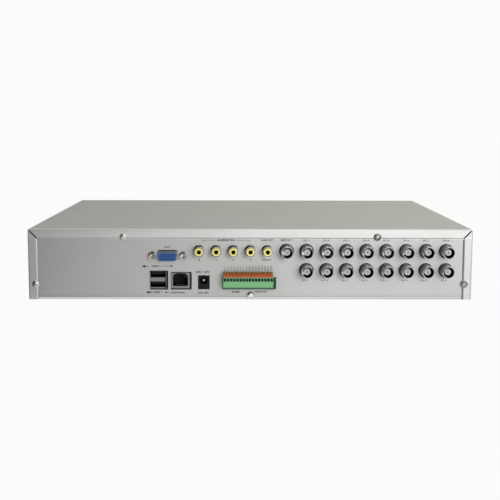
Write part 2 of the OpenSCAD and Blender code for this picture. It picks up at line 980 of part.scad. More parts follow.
// Plug of the terminal strip: nose, wire entries and the ledge that carries the levers
module strip_plug() {
  color(plug_green)
    difference() {
      on_rear(strip_u, board_h) {
        block(plug_w, plug_low, plug_low + 1.1, 0.9, plug_len - 1.4);
        block(plug_w, plug_low + 1, ledge_h, 0.9, plug_len);
        block(nose_w, nose_low, nose_high, -nose_len, 1);
        block(plug_w, ledge_h - 0.1, ledge_h + lever_h, 0.9, 2.2);
      }
      for (i = [0:positions - 1])
        position_place(i) {
          block(1.9, 7.5, 10.1, 2.5, plug_len + 1);
          block(1.3, contact_h - 0.65, contact_h + 0.65, -nose_len - 1, -1.4);
        }
    }
}

// Square sleeve contacts in the nose of the plug
module plug_contacts() {
  color(brass)
    for (i = [0:positions - 1])
      position_place(i)
        difference() {
          block(1.2, contact_h - 0.6, contact_h + 0.6, 0.2 - nose_len, -1.5);
          block(0.9, contact_h - 0.45, contact_h + 0.45, -nose_len, -1.7);
        }
}

// One push lever of the plug: a wide foot and a narrow head that is set back and rounded
module lever(i) {
  foot_l = plug_len - lever_rear + 0.4;
  head_l = foot_l - 0.9;
  color([0.95, 0.45, 0.1])
    position_place(i)
      translate([0, ledge_h + 0.15, lever_rear])
        rotate([0, -90, 0]) {
          linear_extrude(lever_w, center = true)
            square([foot_l, lever_h * 0.55]);
          linear_extrude(lever_head_w, center = true)
            polygon(concat(
              [[0, 0.1], [head_l, 0.1]],
              arc([head_l - 0.9, lever_h - 0.9], 0.9, 0, 90),
              [[0, lever_h]]
            ));
        }
}

tab_w = 12;
upright_left = monitor_u - 18;
upright_right = coax_u + (coax_columns - 1) * coax_pitch + 9;
upright_step = strip_u + header_w / 2 + 3;
upright_high = upper_h + 10;
upright_low = max(stack_h, network_h) + board_h + 2;
upright_tabs = [for (k = [0:2]) upright_step + 10 + k * (upright_right - upright_step - 20) / 2];
main_w = upright_right - upright_left + 2 * main_side;
main_x = -(upright_left + upright_right) / 2;
main_rear_y = inner_y - 1;
main_front_y = main_rear_y - main_d;
board_z = body_z + board_h;
bracket_h = board_h - pcb_t;
bracket_t = 1.2;
drive_low = bracket_h + bracket_t + 2;
drive_x = drive_side + drive_l / 2 - tray_w / 2;
drive_y = front_y + sheet + drive_front + drive_w / 2;
drive_hole_x = drive_l / 3;
drive_hole_h = drive_t / 4;
chip_y = main_rear_y - chip_in;
chip_t = 2;
fin_t = 1.2;
fin_pitch = (sink_w - fin_t) / 8;
cable_low = board_h + 2;
cable_high = board_h + 9;
data_y = drive_y + 24;
supply_y = drive_y + 6;
cable_x = drive_x + drive_l / 2;
data_run = 4;
supply_run = 22;
cable_bend = 8;
cable_plug_l = 6;
ribbon_x = main_x + main_w / 2 - 28;
ribbon_w = 16;
ribbon_bend = 4;
ribbon_h = mid_h - 12;

// Places of the main board's six screws, at its top face
module main_screw_places() {
  for (k = [-1:1], y = [main_rear_y - 24, main_front_y + 7])
    translate([main_x + k * (main_w / 2 - 8), y, board_z])
      children();
}

// Places of the drive bracket's four screws, at its top face
module bracket_screw_places() {
  for (sx = [-1, 1], sy = [-1, 1])
    translate([drive_x + sx * (drive_l / 2 + tab_l / 2), drive_y + sy * (drive_w / 2 - 8),
      body_z + bracket_h + bracket_t])
      children();
}

// Places of the four screws in the drive's long sides
module drive_screw_places() {
  for (sx = [-1, 1], sy = [-1, 1])
    translate([drive_x + sx * drive_hole_x, drive_y + sy * (drive_w / 2 + fit_gap + bracket_t),
      body_z + drive_low + drive_hole_h])
      rotate([-sy * 90, 0, 0])
        children();
}

// Round standoffs between the tray and the boards
module standoffs() {
  color(brass) {
    main_screw_places()
      standoff(-pcb_t);
    bracket_screw_places()
      standoff(-bracket_t);
  }
}

// One standoff below the height z
module standoff(z) {
  difference() {
    rod(3, z - bracket_h + sheet, z);
    rod(screw_hole_r, z - bracket_h, z + 1);
  }
}

// Screws of the boards, the bracket and the drive
module inner_screws() {
  color(plated) {
    main_screw_places()
      pan_screw();
    bracket_screw_places()
      pan_screw();
    drive_screw_places()
      pan_screw();
    boss_places()
      translate([0, 0, front_board_z - pcb_t])
        rotate([180, 0, 0])
          pan_screw();
  }
}

// Main board with its processor and the three cable headers at its front edge
module main_board() {
  color(board_green)
    difference() {
      union() {
        translate([main_x, main_front_y, body_z])
          block(main_w, 0, main_d, board_h - pcb_t, board_h);
        translate([main_x, chip_y, body_z])
          block(chip_w, -chip_w / 2, chip_w / 2, board_h - 0.1, board_h + chip_t);
        translate([cable_x + data_run + cable_plug_l + cable_bend, main_front_y, body_z])
          block(10, 0, 8, board_h - 0.1, cable_high + 1);
        translate([cable_x + supply_run + cable_plug_l + cable_bend, main_front_y, body_z])
          block(10, 0, 8, board_h - 0.1, cable_high + 1);
        translate([ribbon_x, main_front_y, body_z])
          block(ribbon_w + 4, 0, 8, board_h - 0.1, board_h + 7);
      }
      main_screw_places()
        rod(screw_hole_r + 0.1, -pcb_t - 1, 1);
      for (i = [0:positions - 1])
        position_place(i)
          translate([0, 0, -nose_len - 3.28])
            rotate([90, 0, 0])
              rod(0.55, -1, pcb_t + 1);
      for (k = upright_tabs)
        on_rear(k, board_h)
          block(tab_w + 0.2, -pcb_t - 1, 1, upright_z - pcb_t - 0.1, upright_z + 0.1);
    }
}

// Upright board behind the jacks, standing in the main board on three tabs
module upright_board() {
  color(board_green)
    difference() {
      union() {
        on_rear(0, 0)
          translate([0, 0, upright_z - pcb_t])
            linear_extrude(pcb_t)
              polygon([[upright_left, upright_low], [upright_step, upright_low], [upright_step, board_h],
                [upright_right, board_h], [upright_right, upright_high], [upright_left, upright_high]]);
        for (k = upright_tabs)
          on_rear(k, board_h)
            block(tab_w, -pcb_t, 1, upright_z - pcb_t, upright_z);
      }
      coax_places()
        rod(0.6, upright_z - pcb_t - 1, upright_z + 1);
    }
}

// Finned heat sink on the processor
module heat_sink() {
  color([0.55, 0.56, 0.58])
    translate([main_x, chip_y, board_z + chip_t]) {
      block(sink_w, -sink_w / 2, sink_w / 2, 0, 3);
      for (k = [-4:4])
        translate([k * fin_pitch, 0, 0])
          block(fin_t, -sink_w / 2, sink_w / 2, 2.9, sink_h);
    }
}

// Sealed hard drive with a raised lid and screw holes in its sides
module hard_drive() {
  color([0.6, 0.61, 0.62])
    difference() {
      translate([drive_x, drive_y, body_z + drive_low]) {
        block(drive_l, -drive_w / 2, drive_w / 2, 0, drive_t - 1.2);
        block(drive_l - 6, 3 - drive_w / 2, drive_w / 2 - 3, drive_t - 1.3, drive_t);
      }
      drive_screw_places()
        rod(screw_hole_r, -7, 0);
    }
}

// Bracket under the drive: plate with two ribs, end tabs and two side walls
module drive_bracket() {
  color([0.7, 0.7, 0.68])
    difference() {
      translate([drive_x, drive_y, body_z + bracket_h]) {
        block(drive_l + 2 * tab_l, -drive_w / 2 - fit_gap - bracket_t, drive_w / 2 + fit_gap + bracket_t,
          0, bracket_t);
        for (s = [-1, 1]) {
          translate([0, s * (drive_w / 2 + fit_gap + bracket_t / 2), 0])
            block(drive_l, -bracket_t / 2, bracket_t / 2, 0, drive_low - bracket_h + drive_t / 2);
          translate([s * drive_l / 3, 0, 0])
            block(6, -drive_w / 2, drive_w / 2, bracket_t - 0.1, bracket_t + 2);
        }
      }
      bracket_screw_places()
        rod(screw_hole_r + 0.1, -bracket_t - 1, 1);
      drive_screw_places()
        rod(screw_hole_r + 0.1, -bracket_t - 0.5, 1);
    }
}

// Cable from the drive to the main board, standing on edge with a plug at each end
module drive_cable(start_y, run, t) {
  end_y = main_front_y - cable_plug_l - start_y - cable_bend;
  translate([cable_x, start_y, body_z + cable_low])
    linear_extrude(cable_high - cable_low) {
      translate([0, -3.5])
        square([cable_plug_l, 7]);
      translate([cable_plug_l - 0.1, 0])
        band([[run + 0.1, cable_bend, 90], [end_y + 0.1, 0, 0]], t);
      translate([cable_plug_l + run + cable_bend - 4, end_y + cable_bend])
        square([8, cable_plug_l]);
    }
}

// Ribbon from the front board along the tray's floor to the main board
module front_ribbon() {
  start_y = face_y - front_board_z + pcb_t + 5;
  first = front_y + sheet + ribbon_bend - start_y;
  low = sheet + 0.6;
  high = board_h + 3.5;
  drop = ribbon_h - low - 2 * ribbon_bend;
  lift = high - low - 2 * ribbon_bend;
  floor_run = main_front_y - cable_plug_l - front_y - sheet - 5 * ribbon_bend;
  translate([ribbon_x, 0, body_z])
    rotate([90, 0, 90])
      linear_extrude(ribbon_w, center = true) {
        translate([start_y - 5, ribbon_h - 3])
          square([5.1, 6]);
        translate([start_y, ribbon_h])
          band([[first, ribbon_bend, -90], [drop, ribbon_bend, 90], [floor_run, ribbon_bend, 90],
            [lift, ribbon_bend, -90], [0.2, 0, 0]], 1);
        translate([main_front_y - cable_plug_l, high - 2.5])
          square([cable_plug_l, 5]);
      }
}

// Three inner cables: drive data, drive supply and front ribbon
module inner_cables() {
  color([0.7, 0.1, 0.1])
    drive_cable(data_y, data_run, 1.6);
  color([0.85, 0.75, 0.1])
    drive_cable(supply_y, supply_run, 2.4);
  color([0.5, 0.5, 0.52])
    front_ribbon();
}

function lever_name(i) = str("lever_", i + 1);
function key_name(i) = str("key_", key_names[i]);

top_cover();
base_tray();
rear_panel();
front_bezel();
case_screws();
feet();
infrared_window();
light_pipes();
key_switches();
front_board();
coax_barrels();
coax_housings();
coax_insulators();
coax_contacts();
phono_housings();
phono_collars();
phono_inserts();
monitor_shell();
monitor_insert();
jackscrews();
stack_shell();
stack_tongues();
network_shield();
network_insert();
power_housing();
power_pin();
strip_header();
strip_pins();
strip_plug();
plug_contacts();
main_board();
upright_board();
heat_sink();
standoffs();
inner_screws();
hard_drive();
drive_bracket();
inner_cables();
for (i = [0:5])
  key(i);
for (i = [0:positions - 1])
  lever(i);
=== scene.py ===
# %% [markdown]
# # A desktop video recorder, seen from behind
#
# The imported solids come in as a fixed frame: every sheet, socket, key and lever has its real size and
# place. This lesson gives each of them its finish, softens the edges that catch the light, adds the small
# things that a solid model leaves out, such as printed marks and spring contacts, and sets up the studio.

# %% Load the frame
import json
import math

import bmesh
import bpy
from mathutils import Matrix, Vector


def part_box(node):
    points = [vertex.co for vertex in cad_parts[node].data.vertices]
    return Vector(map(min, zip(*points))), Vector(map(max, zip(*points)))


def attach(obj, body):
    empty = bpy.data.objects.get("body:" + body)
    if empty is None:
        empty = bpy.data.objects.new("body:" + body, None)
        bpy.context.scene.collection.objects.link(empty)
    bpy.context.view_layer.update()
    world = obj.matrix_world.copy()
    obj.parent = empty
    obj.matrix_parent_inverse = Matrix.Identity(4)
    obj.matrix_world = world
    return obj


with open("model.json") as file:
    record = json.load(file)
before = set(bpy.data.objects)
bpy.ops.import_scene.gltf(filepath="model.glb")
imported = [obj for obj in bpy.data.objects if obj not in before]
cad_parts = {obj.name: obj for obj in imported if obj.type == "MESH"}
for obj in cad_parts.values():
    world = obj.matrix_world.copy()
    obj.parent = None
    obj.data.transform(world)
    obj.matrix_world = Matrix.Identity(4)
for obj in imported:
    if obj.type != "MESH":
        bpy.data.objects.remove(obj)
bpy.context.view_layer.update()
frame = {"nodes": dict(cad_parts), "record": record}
nodes = frame["nodes"]
scene = bpy.context.scene
MM = 0.001

# %% [markdown]
# Everything at the rear is placed as someone standing behind the case would measure it: u to the right, h
# up from the bottom of the case, out from the plate. Such a view mirrors the world's x, so one small
# function turns those three numbers into a matrix, and a second one does the same for the front face. The
# record's mounts give the middle of every socket in the same numbers, so marks and contacts stay with
# their sockets.

# %% Rear and front datums
plate_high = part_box("rear_panel")[1]
tray_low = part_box("base_tray")[0]
bezel_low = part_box("front_bezel")[0]


def rear_place(u, h, out=0.0):
    """Matrix of a place on the rear plate, in millimetres: x right, y up, z out as seen from behind."""
    place = Matrix(((-1, 0, 0), (0, 0, 1), (0, 1, 0))).to_4x4()
    place.translation = Vector((-u * MM, plate_high.y + out * MM, tray_low.z + h * MM))
    return place


def front_place(u, h, out=0.0):
    """Matrix of a place on the bezel's face, in millimetres: x right, y up, z out as seen from the front."""
    place = Matrix(((1, 0, 0), (0, 0, -1), (0, 1, 0))).to_4x4()
    place.translation = Vector((u * MM, bezel_low.y - out * MM, tray_low.z + h * MM))
    return place


seat = {}
for mount in frame["record"]["mounts"]:
    x, _, z = mount["pos_m"]
    seat[mount["name"]] = Vector((-x / MM, (z - tray_low.z) / MM))
print("rear plate at y =", round(plate_high.y / MM, 2), "mm;", len(seat), "mounts")

# %% [markdown]
# A finish is one material on one Principled shader. Its patterns could be images wrapped round each
# piece, but those need unwrapping. Here they are textures on Object coordinates, because every piece sits
# unturned at the origin and a pattern then stays put when the piece moves. Two helpers start most
# finishes: a blank one, and a texture whose size is given in millimetres.


# %% Blank finish and texture
def blank_finish(name, roughness, metallic=0.0, **sockets):
    """New material; returns it with its node tree and its shader."""
    material = bpy.data.materials.new(name)
    material.use_nodes = True
    shader = material.node_tree.nodes["Principled BSDF"]
    shader.inputs["Roughness"].default_value = roughness
    shader.inputs["Metallic"].default_value = metallic
    for socket, value in sockets.items():
        shader.inputs[socket.replace("_", " ")].default_value = value
    return material, material.node_tree, shader


def texture(tree, kind, size_mm, stretch=(1, 1, 1), **settings):
    """Texture on Object coordinates, with features of about size_mm, longer along stretched axes."""
    where = tree.nodes.new("ShaderNodeTexCoord")
    mapping = tree.nodes.new("ShaderNodeMapping")
    mapping.inputs["Scale"].default_value = [1 / (size_mm * MM * s) for s in stretch]
    node = tree.nodes.new("ShaderNodeTex" + kind)
    node.inputs["Scale"].default_value = 1.0
    for name, value in settings.items():
        if name in node.inputs:
            node.inputs[name].default_value = value
        else:
            setattr(node, name, value)
    tree.links.new(where.outputs["Object"], mapping.inputs["Vector"])
    tree.links.new(mapping.outputs["Vector"], node.inputs["Vector"])
    return node


print("blank finish and texture ready")

# %% [markdown]
# A texture gives a number from 0 to 1 at every point. On a real surface the grain shows as a small change
# of tone, of gloss and of height, so the next helpers turn that number into each of them: a ramp between
# two tones, a range of roughness and a bump. One more helper blends two colours, and one fills an input
# either with a link or with a plain value.

# %% Tones, mixes and bumps
RAMP_LOW, RAMP_HIGH = 0.3, 0.7


def feed(tree, value, socket):
    """Gives an input a link from another socket, or a plain value."""
    if isinstance(value, bpy.types.NodeSocket):
        tree.links.new(value, socket)
    else:
        socket.default_value = value


def ramp(tree, factor, dark, light):
    """Two-tone ramp over the middle part of a texture's range."""
    node = tree.nodes.new("ShaderNodeValToRGB")
    first, last = node.color_ramp.elements
    first.position, last.position = RAMP_LOW, RAMP_HIGH
    first.color, last.color = (*dark, 1), (*light, 1)
    feed(tree, factor, node.inputs["Fac"])
    return node.outputs["Color"]


def spread(tree, factor, low, high):
    """Maps 0 to 1 to a range of numbers."""
    node = tree.nodes.new("ShaderNodeMapRange")
    node.inputs["To Min"].default_value = low
    node.inputs["To Max"].default_value = high
    feed(tree, factor, node.inputs["Value"])
    return node.outputs["Result"]


def mixed(tree, blend, factor, first, second):
    """Colour mix; each of the three inputs is a socket or a plain value."""
    node = tree.nodes.new("ShaderNodeMix")
    node.data_type = "RGBA"
    node.blend_type = blend
    for name, value in (("Factor", factor), ("A", first), ("B", second)):
        feed(tree, value, next(s for s in node.inputs if s.name == name and s.enabled))
    return next(s for s in node.outputs if s.enabled)


def bump(tree, shader, height, depth_mm):
    """Bump of about that depth on the shader's normal."""
    node = tree.nodes.new("ShaderNodeBump")
    node.inputs["Distance"].default_value = depth_mm * MM
    node.inputs["Strength"].default_value = 1.0
    feed(tree, height, node.inputs["Height"])
    feed(tree, node.outputs["Normal"], shader.inputs["Normal"])


def toned(colour, amount):
    """The colour made lighter or darker by that share."""
    return tuple(min(1.0, c * (1 + amount)) for c in colour)


print("tones run from", RAMP_LOW, "to", RAMP_HIGH, "of a texture")

# %% [markdown]
# The case is folded steel with a satin silver-grey coat. Such a coat is resin filled with metal flake, so
# it is partly metallic and fairly rough, with a flake-sized speckle, a faint orange peel and a slow drift
# of tone. A plain grey would do from far off, but close to it would look like card. The cover was coated
# apart from the rear plate and the tray, and these are the darker ones.

# %% Silver coat
FLAKE_MM, PEEL_MM, DRIFT_MM = 0.35, 1.1, 45
PEEL_DEPTH_MM = 0.02
SPECKLE = 0.05
GLOSS_SWING = 0.06


def silver_coat(name, colour, roughness):
    """Satin coat with flake, orange peel and a slow drift of tone."""
    material, tree, shader = blank_finish(name, roughness, metallic=0.4, Specular_IOR_Level=0.3)
    flake = texture(tree, "Noise", FLAKE_MM, Detail=2.0).outputs["Fac"]
    drift = texture(tree, "Noise", DRIFT_MM, Detail=2.0).outputs["Fac"]
    peel = texture(tree, "Noise", PEEL_MM, Detail=1.0).outputs["Fac"]
    speckled = ramp(tree, flake, toned(colour, -SPECKLE), toned(colour, SPECKLE))
    drifting = ramp(tree, drift, (0.96, 0.96, 0.955), (1, 1, 1))
    gloss = spread(tree, flake, roughness - GLOSS_SWING, roughness + GLOSS_SWING)
    feed(tree, mixed(tree, "MULTIPLY", 1.0, speckled, drifting), shader.inputs["Base Color"])
    feed(tree, gloss, shader.inputs["Roughness"])
    bump(tree, shader, peel, PEEL_DEPTH_MM)
    return material


finishes = {
    "case_paint": silver_coat("case_paint", (0.55, 0.552, 0.54), 0.5),
    "panel_paint": silver_coat("panel_paint", (0.46, 0.46, 0.455), 0.52),
}
print("coats:", sorted(finishes))

# %% [markdown]
# Some places of a finish differ from the rest: a fold gets a painted highlight, and a hollow gets painted
# shade. Such a place could be a piece with a finish of its own, but the solids are not cut up here. A mask
# does it instead: a coordinate is compared with a limit, which gives 1 or 0, and such answers are
# multiplied together. The finish is tinted where the mask is 1.


# %% Masks and tints
def sums(tree, operation, *values):
    """Math node; each value is a socket or a plain number."""
    node = tree.nodes.new("ShaderNodeMath")
    node.operation = operation
    for socket, value in zip(node.inputs, values):
        feed(tree, value, socket)
    return node.outputs[0]


def axes(tree):
    """The three Object coordinates as sockets."""
    where = tree.nodes.new("ShaderNodeTexCoord")
    split = tree.nodes.new("ShaderNodeSeparateXYZ")
    feed(tree, where.outputs["Object"], split.inputs["Vector"])
    return split.outputs["X"], split.outputs["Y"], split.outputs["Z"]


def more(tree, value, limit):
    """Mask that is 1 where the value is greater than the limit."""
    return sums(tree, "GREATER_THAN", value, limit)


def less(tree, value, limit):
    """Mask that is 1 where the value is less than the limit."""
    return sums(tree, "LESS_THAN", value, limit)


def every(tree, mask, *others):
    """Product of masks: 1 where all of them are."""
    for other in others:
        mask = sums(tree, "MULTIPLY", mask, other)
    return mask


def within(tree, value, low, high):
    """Mask that is 1 where the value lies between low and high."""
    return every(tree, more(tree, value, low), less(tree, value, high))


def even(share):
    """Tint that makes a colour lighter or darker without changing its hue."""
    return share, share, share


def tinted(name, mask, tint):
    """Multiplies a finish's colour by the tint where the mask is 1."""
    tree = finishes[name].node_tree
    socket = tree.nodes["Principled BSDF"].inputs["Base Color"]
    feed(tree, mixed(tree, "MULTIPLY", mask, socket.links[0].from_socket, (*tint, 1)), socket)


print("masks ready")

# %% [markdown]
# The inner edges of the cover's three rear lips are rolled, and their light and shade are painted. The left
# one gets a painted highlight, the top one a painted light line below a painted dark one, and the right one
# painted shade, where the plate stands a little away from it. The whole upper lip is painted a trace
# lighter than the sides, and the fold above it gets a painted highlight. Small lamps could draw such lines,
# but they would light everything else as well, so narrow strips of the coat are tinted.

# %% Edges of the cover
LIP_MM = 7.8
LIP_SHEET_MM = 1.2
LIP_OVERLAP_MM = 0.1
FOLD_HIGH_MM, FOLD_DEEP_MM = 0.5, 1.6
# side as seen from behind, share of the tone (above 1 a painted highlight, below 1 painted shade), and start
# and end of the strip in mm from the lip's inner edge
LIP_PAINTED_LIGHT = (
    ("left", 1.35, 0.3, 1.25),
    ("top", 1.2, -0.1, 0.4),
    ("top", 0.8, 0.4, 1.1),
    ("right", 0.35, 0.15, 1.45),
)
cover_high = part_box("top_cover")[1]
lip_x = cover_high.x - LIP_MM * MM
lip_z = cover_high.z - LIP_MM * MM
tree = finishes["case_paint"].node_tree
x, y, z = axes(tree)
lip_sheet = more(tree, y, cover_high.y - LIP_SHEET_MM * MM)
for side, share, start_mm, end_mm in LIP_PAINTED_LIGHT:
    if side == "top":
        into_lip = sums(tree, "SUBTRACT", z, lip_z)
        along = less(tree, sums(tree, "ABSOLUTE", x), lip_x)
    else:
        outward = sums(tree, "MULTIPLY", x, 1 if side == "left" else -1)
        into_lip = sums(tree, "SUBTRACT", outward, lip_x)
        along = less(tree, z, lip_z)
    band = within(tree, into_lip, start_mm * MM, end_mm * MM)
    tinted("case_paint", every(tree, band, along, lip_sheet), even(share))

# painted highlight on the fold above the upper lip
fold_top = more(tree, z, cover_high.z - FOLD_HIGH_MM * MM)
fold_rear = more(tree, y, cover_high.y - FOLD_DEEP_MM * MM)
tinted("case_paint", every(tree, fold_top, fold_rear), even(1.5))
# painted light: the whole upper lip a trace lighter than the sides
upper_lip = more(tree, z, cover_high.z - (LIP_MM + LIP_OVERLAP_MM) * MM)
tinted("case_paint", every(tree, upper_lip, lip_sheet), even(1.06))
print("edges of the cover:", len(LIP_PAINTED_LIGHT), "strips, the fold and the upper lip")

# %% [markdown]
# The plate is painted lighter in a thin strip right under the upper lip, most of all at the right, which
# lifts the lip's shade, and the tray's rolled rear lip gets a painted highlight along its foot, most of all
# at the left. One coordinate that runs from 0 at the right end to 1 at the left end weighs both tints,
# which is simpler than several strips of different strength.

# %% Edges of the plate and the tray
UNDER_LIP_MM = 0.7
ROLL_HIGH_MM, ROLL_DEEP_MM = 1.9, 2
tree = finishes["panel_paint"].node_tree
x, y, z = axes(tree)
leftward = sums(tree, "ADD", sums(tree, "DIVIDE", x, 2 * cover_high.x), 0.5)
# painted light that lifts the shade in a thin strip under the upper lip
under_lip = more(tree, z, cover_high.z - (LIP_MM + UNDER_LIP_MM) * MM)
tinted("panel_paint", every(tree, under_lip, spread(tree, leftward, 1.0, 0.25)), even(1.3))
# painted highlight along the foot of the tray's rolled rear lip
roll_foot = less(tree, z, tray_low.z + ROLL_HIGH_MM * MM)
roll_rear = more(tree, y, plate_high.y - ROLL_DEEP_MM * MM)
tinted("panel_paint", every(tree, roll_foot, roll_rear, spread(tree, leftward, 0.3, 1.0)), even(1.8))
print("edges of the plate and tray:", UNDER_LIP_MM, "mm under the lip,", ROLL_HIGH_MM, "mm of the roll")

# %% [markdown]
# Moulded plastics differ in colour, gloss and the grain left by the tool's surface. Each could have a
# shader network of its own, but one function makes them all: a fine spark-eroded grain drives a little
# tone, a little roughness and a shallow bump. The metals use the same function later.

# %% Moulded plastics
LEAST_ROUGHNESS = 0.05
GRAIN_SWING = 0.08


def grained(name, colour, roughness, grain_mm, tone, depth_mm, stretch=(1, 1, 1), **sockets):
    """Finish whose grain varies its tone and its roughness a little and gives it a shallow bump."""
    material, tree, shader = blank_finish(name, roughness, **sockets)
    grain = texture(tree, "Noise", grain_mm, stretch, Detail=3.0).outputs["Fac"]
    gloss = spread(tree, grain, max(LEAST_ROUGHNESS, roughness - GRAIN_SWING), roughness + GRAIN_SWING)
    feed(tree, ramp(tree, grain, toned(colour, -tone), toned(colour, tone)), shader.inputs["Base Color"])
    feed(tree, gloss, shader.inputs["Roughness"])
    bump(tree, shader, grain, depth_mm)
    return material


def moulded(name, colour, roughness, grain_mm=0.4, tone=0.08, depth_mm=0.01, **sockets):
    """Plastic, rubber or ink."""
    return grained(name, colour, roughness, grain_mm, tone, depth_mm, **sockets)


plastics = {
    "bezel_plastic": dict(colour=(0.035, 0.036, 0.04), roughness=0.5, grain_mm=0.5, depth_mm=0.03),
    "foot_rubber": dict(colour=(0.02, 0.02, 0.02), roughness=0.8, grain_mm=0.6, depth_mm=0.04),
    "window_plastic": dict(colour=(0.05, 0.006, 0.01), roughness=0.12, depth_mm=0.002),
    "pipe_plastic": dict(colour=(0.75, 0.8, 0.75), roughness=0.2, depth_mm=0.002),
    "black_plastic": dict(colour=(0.005, 0.005, 0.0055), roughness=0.55, Specular_IOR_Level=0.14),
    "bush_black": dict(
        colour=(0.006, 0.006, 0.0065), roughness=0.3, depth_mm=0.002, Specular_IOR_Level=0.32,
    ),
    "insulator_white": dict(
        colour=(0.9, 0.9, 0.88), roughness=0.5,
        Subsurface_Weight=1.0, Subsurface_Radius=(1, 1, 1), Subsurface_Scale=0.004,
    ),
    "phono_yellow": dict(colour=(0.87, 0.83, 0.28), roughness=0.35),
    "monitor_blue": dict(colour=(0.009, 0.069, 0.285), roughness=0.4),
    "header_green": dict(colour=(0.010, 0.047, 0.016), roughness=0.5, Specular_IOR_Level=0.18),
    "plug_green": dict(colour=(0.193, 0.452, 0.222), roughness=0.5, Specular_IOR_Level=0.3),
    "lever_orange": dict(colour=(0.495, 0.0757, 0.0157), roughness=0.45, Specular_IOR_Level=0.3),
    "cable_jacket": dict(colour=(0.3, 0.06, 0.05), roughness=0.55),
    "key_red": dict(colour=(0.35, 0.03, 0.03), roughness=0.4),
    "key_grey": dict(colour=(0.32, 0.32, 0.33), roughness=0.42),
}
for name, settings in plastics.items():
    finishes[name] = moulded(name, **settings)
print("plastics:", len(plastics))

# %% [markdown]
# Three plastics are not the same all over. The flat ends of the milky coax insulators are painted darker
# than their sides, the deep, narrow wire entries of the green plug and its foot get painted shade, and the
# heads of the orange levers are painted a darker brown, as painted shade between them. Separate pieces
# would do for these too, but masks keep each moulding whole.

# %% Tints on the plastics
INSULATOR_END_MM = 0.05
ENTRY_TOP_MM, ENTRY_BOTTOM_MM = 4.35, 7.05
ENTRY_FRONT_MM, ENTRY_BACK_MM, ENTRY_SIDE_MM = 0.3, 6.6, 0.1
PLUG_FOOT_MM = 0.8
LEVER_HEAD_MM = 1.7

insulator_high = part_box("coax_insulators")[1]
tree = finishes["insulator_white"].node_tree
flat_end = more(tree, axes(tree)[1], insulator_high.y - INSULATOR_END_MM * MM)
# the flat ends of the insulators painted darker than their sides
tinted("insulator_white", flat_end, even(0.68))

plug_low, plug_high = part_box("strip_plug")
tree = finishes["plug_green"].node_tree
x, y, z = axes(tree)
entry = every(
    tree,
    within(tree, z, plug_high.z - ENTRY_BOTTOM_MM * MM, plug_high.z - ENTRY_TOP_MM * MM),
    within(tree, y, plug_high.y - ENTRY_BACK_MM * MM, plug_high.y - ENTRY_FRONT_MM * MM),
    within(tree, x, plug_low.x + ENTRY_SIDE_MM * MM, plug_high.x - ENTRY_SIDE_MM * MM),
)
# painted shade in the wire entries
tinted("plug_green", entry, even(0.3))
# painted shade along the plug's foot
tinted("plug_green", less(tree, z, plug_low.z + PLUG_FOOT_MM * MM), (0.45, 0.45, 0.5))

lever_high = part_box("lever_1")[1]
tree = finishes["lever_orange"].node_tree
head = more(tree, axes(tree)[2], lever_high.z - LEVER_HEAD_MM * MM)
# painted shade on the lever heads, for the shade between them
tinted("lever_orange", head, (0.7, 1.1, 0.84))
print("tinted: insulator ends, wire entries, plug foot, lever heads")

# %% [markdown]
# Plated and bare metals are fully metallic. What tells them apart is their colour and how their roughness
# runs: a turned barrel has fine rings, pressed steel has long rolling marks and a casting is mottled. An
# anisotropic shader could show such a direction, but the export would lose it, so a stretched noise gives
# each its own.

# %% Metals
METAL_TONE = 0.06
METAL_DEPTH_MM = 0.004
TURNED, ROLLED, EXTRUDED = (6, 1, 6), (8, 1, 1), (1, 8, 1)


def metal(name, colour, roughness, grain_mm=0.5, stretch=(1, 1, 1)):
    """Plated or bare metal whose marks run along the stretched axes."""
    return grained(name, colour, roughness, grain_mm, METAL_TONE, METAL_DEPTH_MM, stretch, metallic=1.0)


metals = {
    "screw_steel": dict(colour=(0.62, 0.615, 0.6), roughness=0.4),
    "nickel": dict(colour=(0.48, 0.475, 0.46), roughness=0.22, grain_mm=0.2, stretch=TURNED),
    "barrel_nickel": dict(colour=(0.45, 0.445, 0.43), roughness=0.32, grain_mm=0.2, stretch=TURNED),
    "contact_tin": dict(colour=(0.26, 0.25, 0.23), roughness=0.35),
    "shell_steel": dict(colour=(0.215, 0.215, 0.21), roughness=0.36, stretch=ROLLED),
    "monitor_steel": dict(colour=(0.22, 0.22, 0.215), roughness=0.36, stretch=ROLLED),
    "jackscrew_nickel": dict(colour=(0.44, 0.435, 0.42), roughness=0.4),
    "contact_brass": dict(colour=(0.4, 0.3, 0.12), roughness=0.3),
    "sink_aluminium": dict(colour=(0.62, 0.63, 0.64), roughness=0.4, stretch=EXTRUDED),
    "drive_metal": dict(colour=(0.5, 0.5, 0.51), roughness=0.45, grain_mm=1.2),
    "bracket_steel": dict(colour=(0.58, 0.57, 0.54), roughness=0.4, grain_mm=0.8, stretch=ROLLED),
}
for name, settings in metals.items():
    finishes[name] = metal(name, **settings)
print("metals:", len(metals))

# %% [markdown]
# Some finishes get painted shade in their hollows. The steel of the two pressed socket shells is painted
# black just behind the plate's outer face, and the blue and yellow inserts are painted black in their holes.
# Deeper holes would be dark by themselves, but in a few millimetres of bright wall light still bounces
# about, so the shade is painted in the finish.

# %% Dark hollows
HOLLOW_BLACK = (0.004, 0.004, 0.004, 1)
HOLLOW_SHINE, USUAL_SHINE = 0.02, 0.5


def darkened(name, bright):
    """Leaves a finish as it is where the mask is 1, and paints it black and dull, as painted shade, where it
    is 0.
    """
    tree = finishes[name].node_tree
    inputs = tree.nodes["Principled BSDF"].inputs
    colour = inputs["Base Color"].links[0].from_socket
    feed(tree, mixed(tree, "MIX", bright, HOLLOW_BLACK, colour), inputs["Base Color"])
    feed(tree, spread(tree, bright, HOLLOW_SHINE, USUAL_SHINE), inputs["Specular IOR Level"])
    metallic = inputs["Metallic"].default_value
    if metallic:
        feed(tree, spread(tree, bright, 0.0, metallic), inputs["Metallic"])


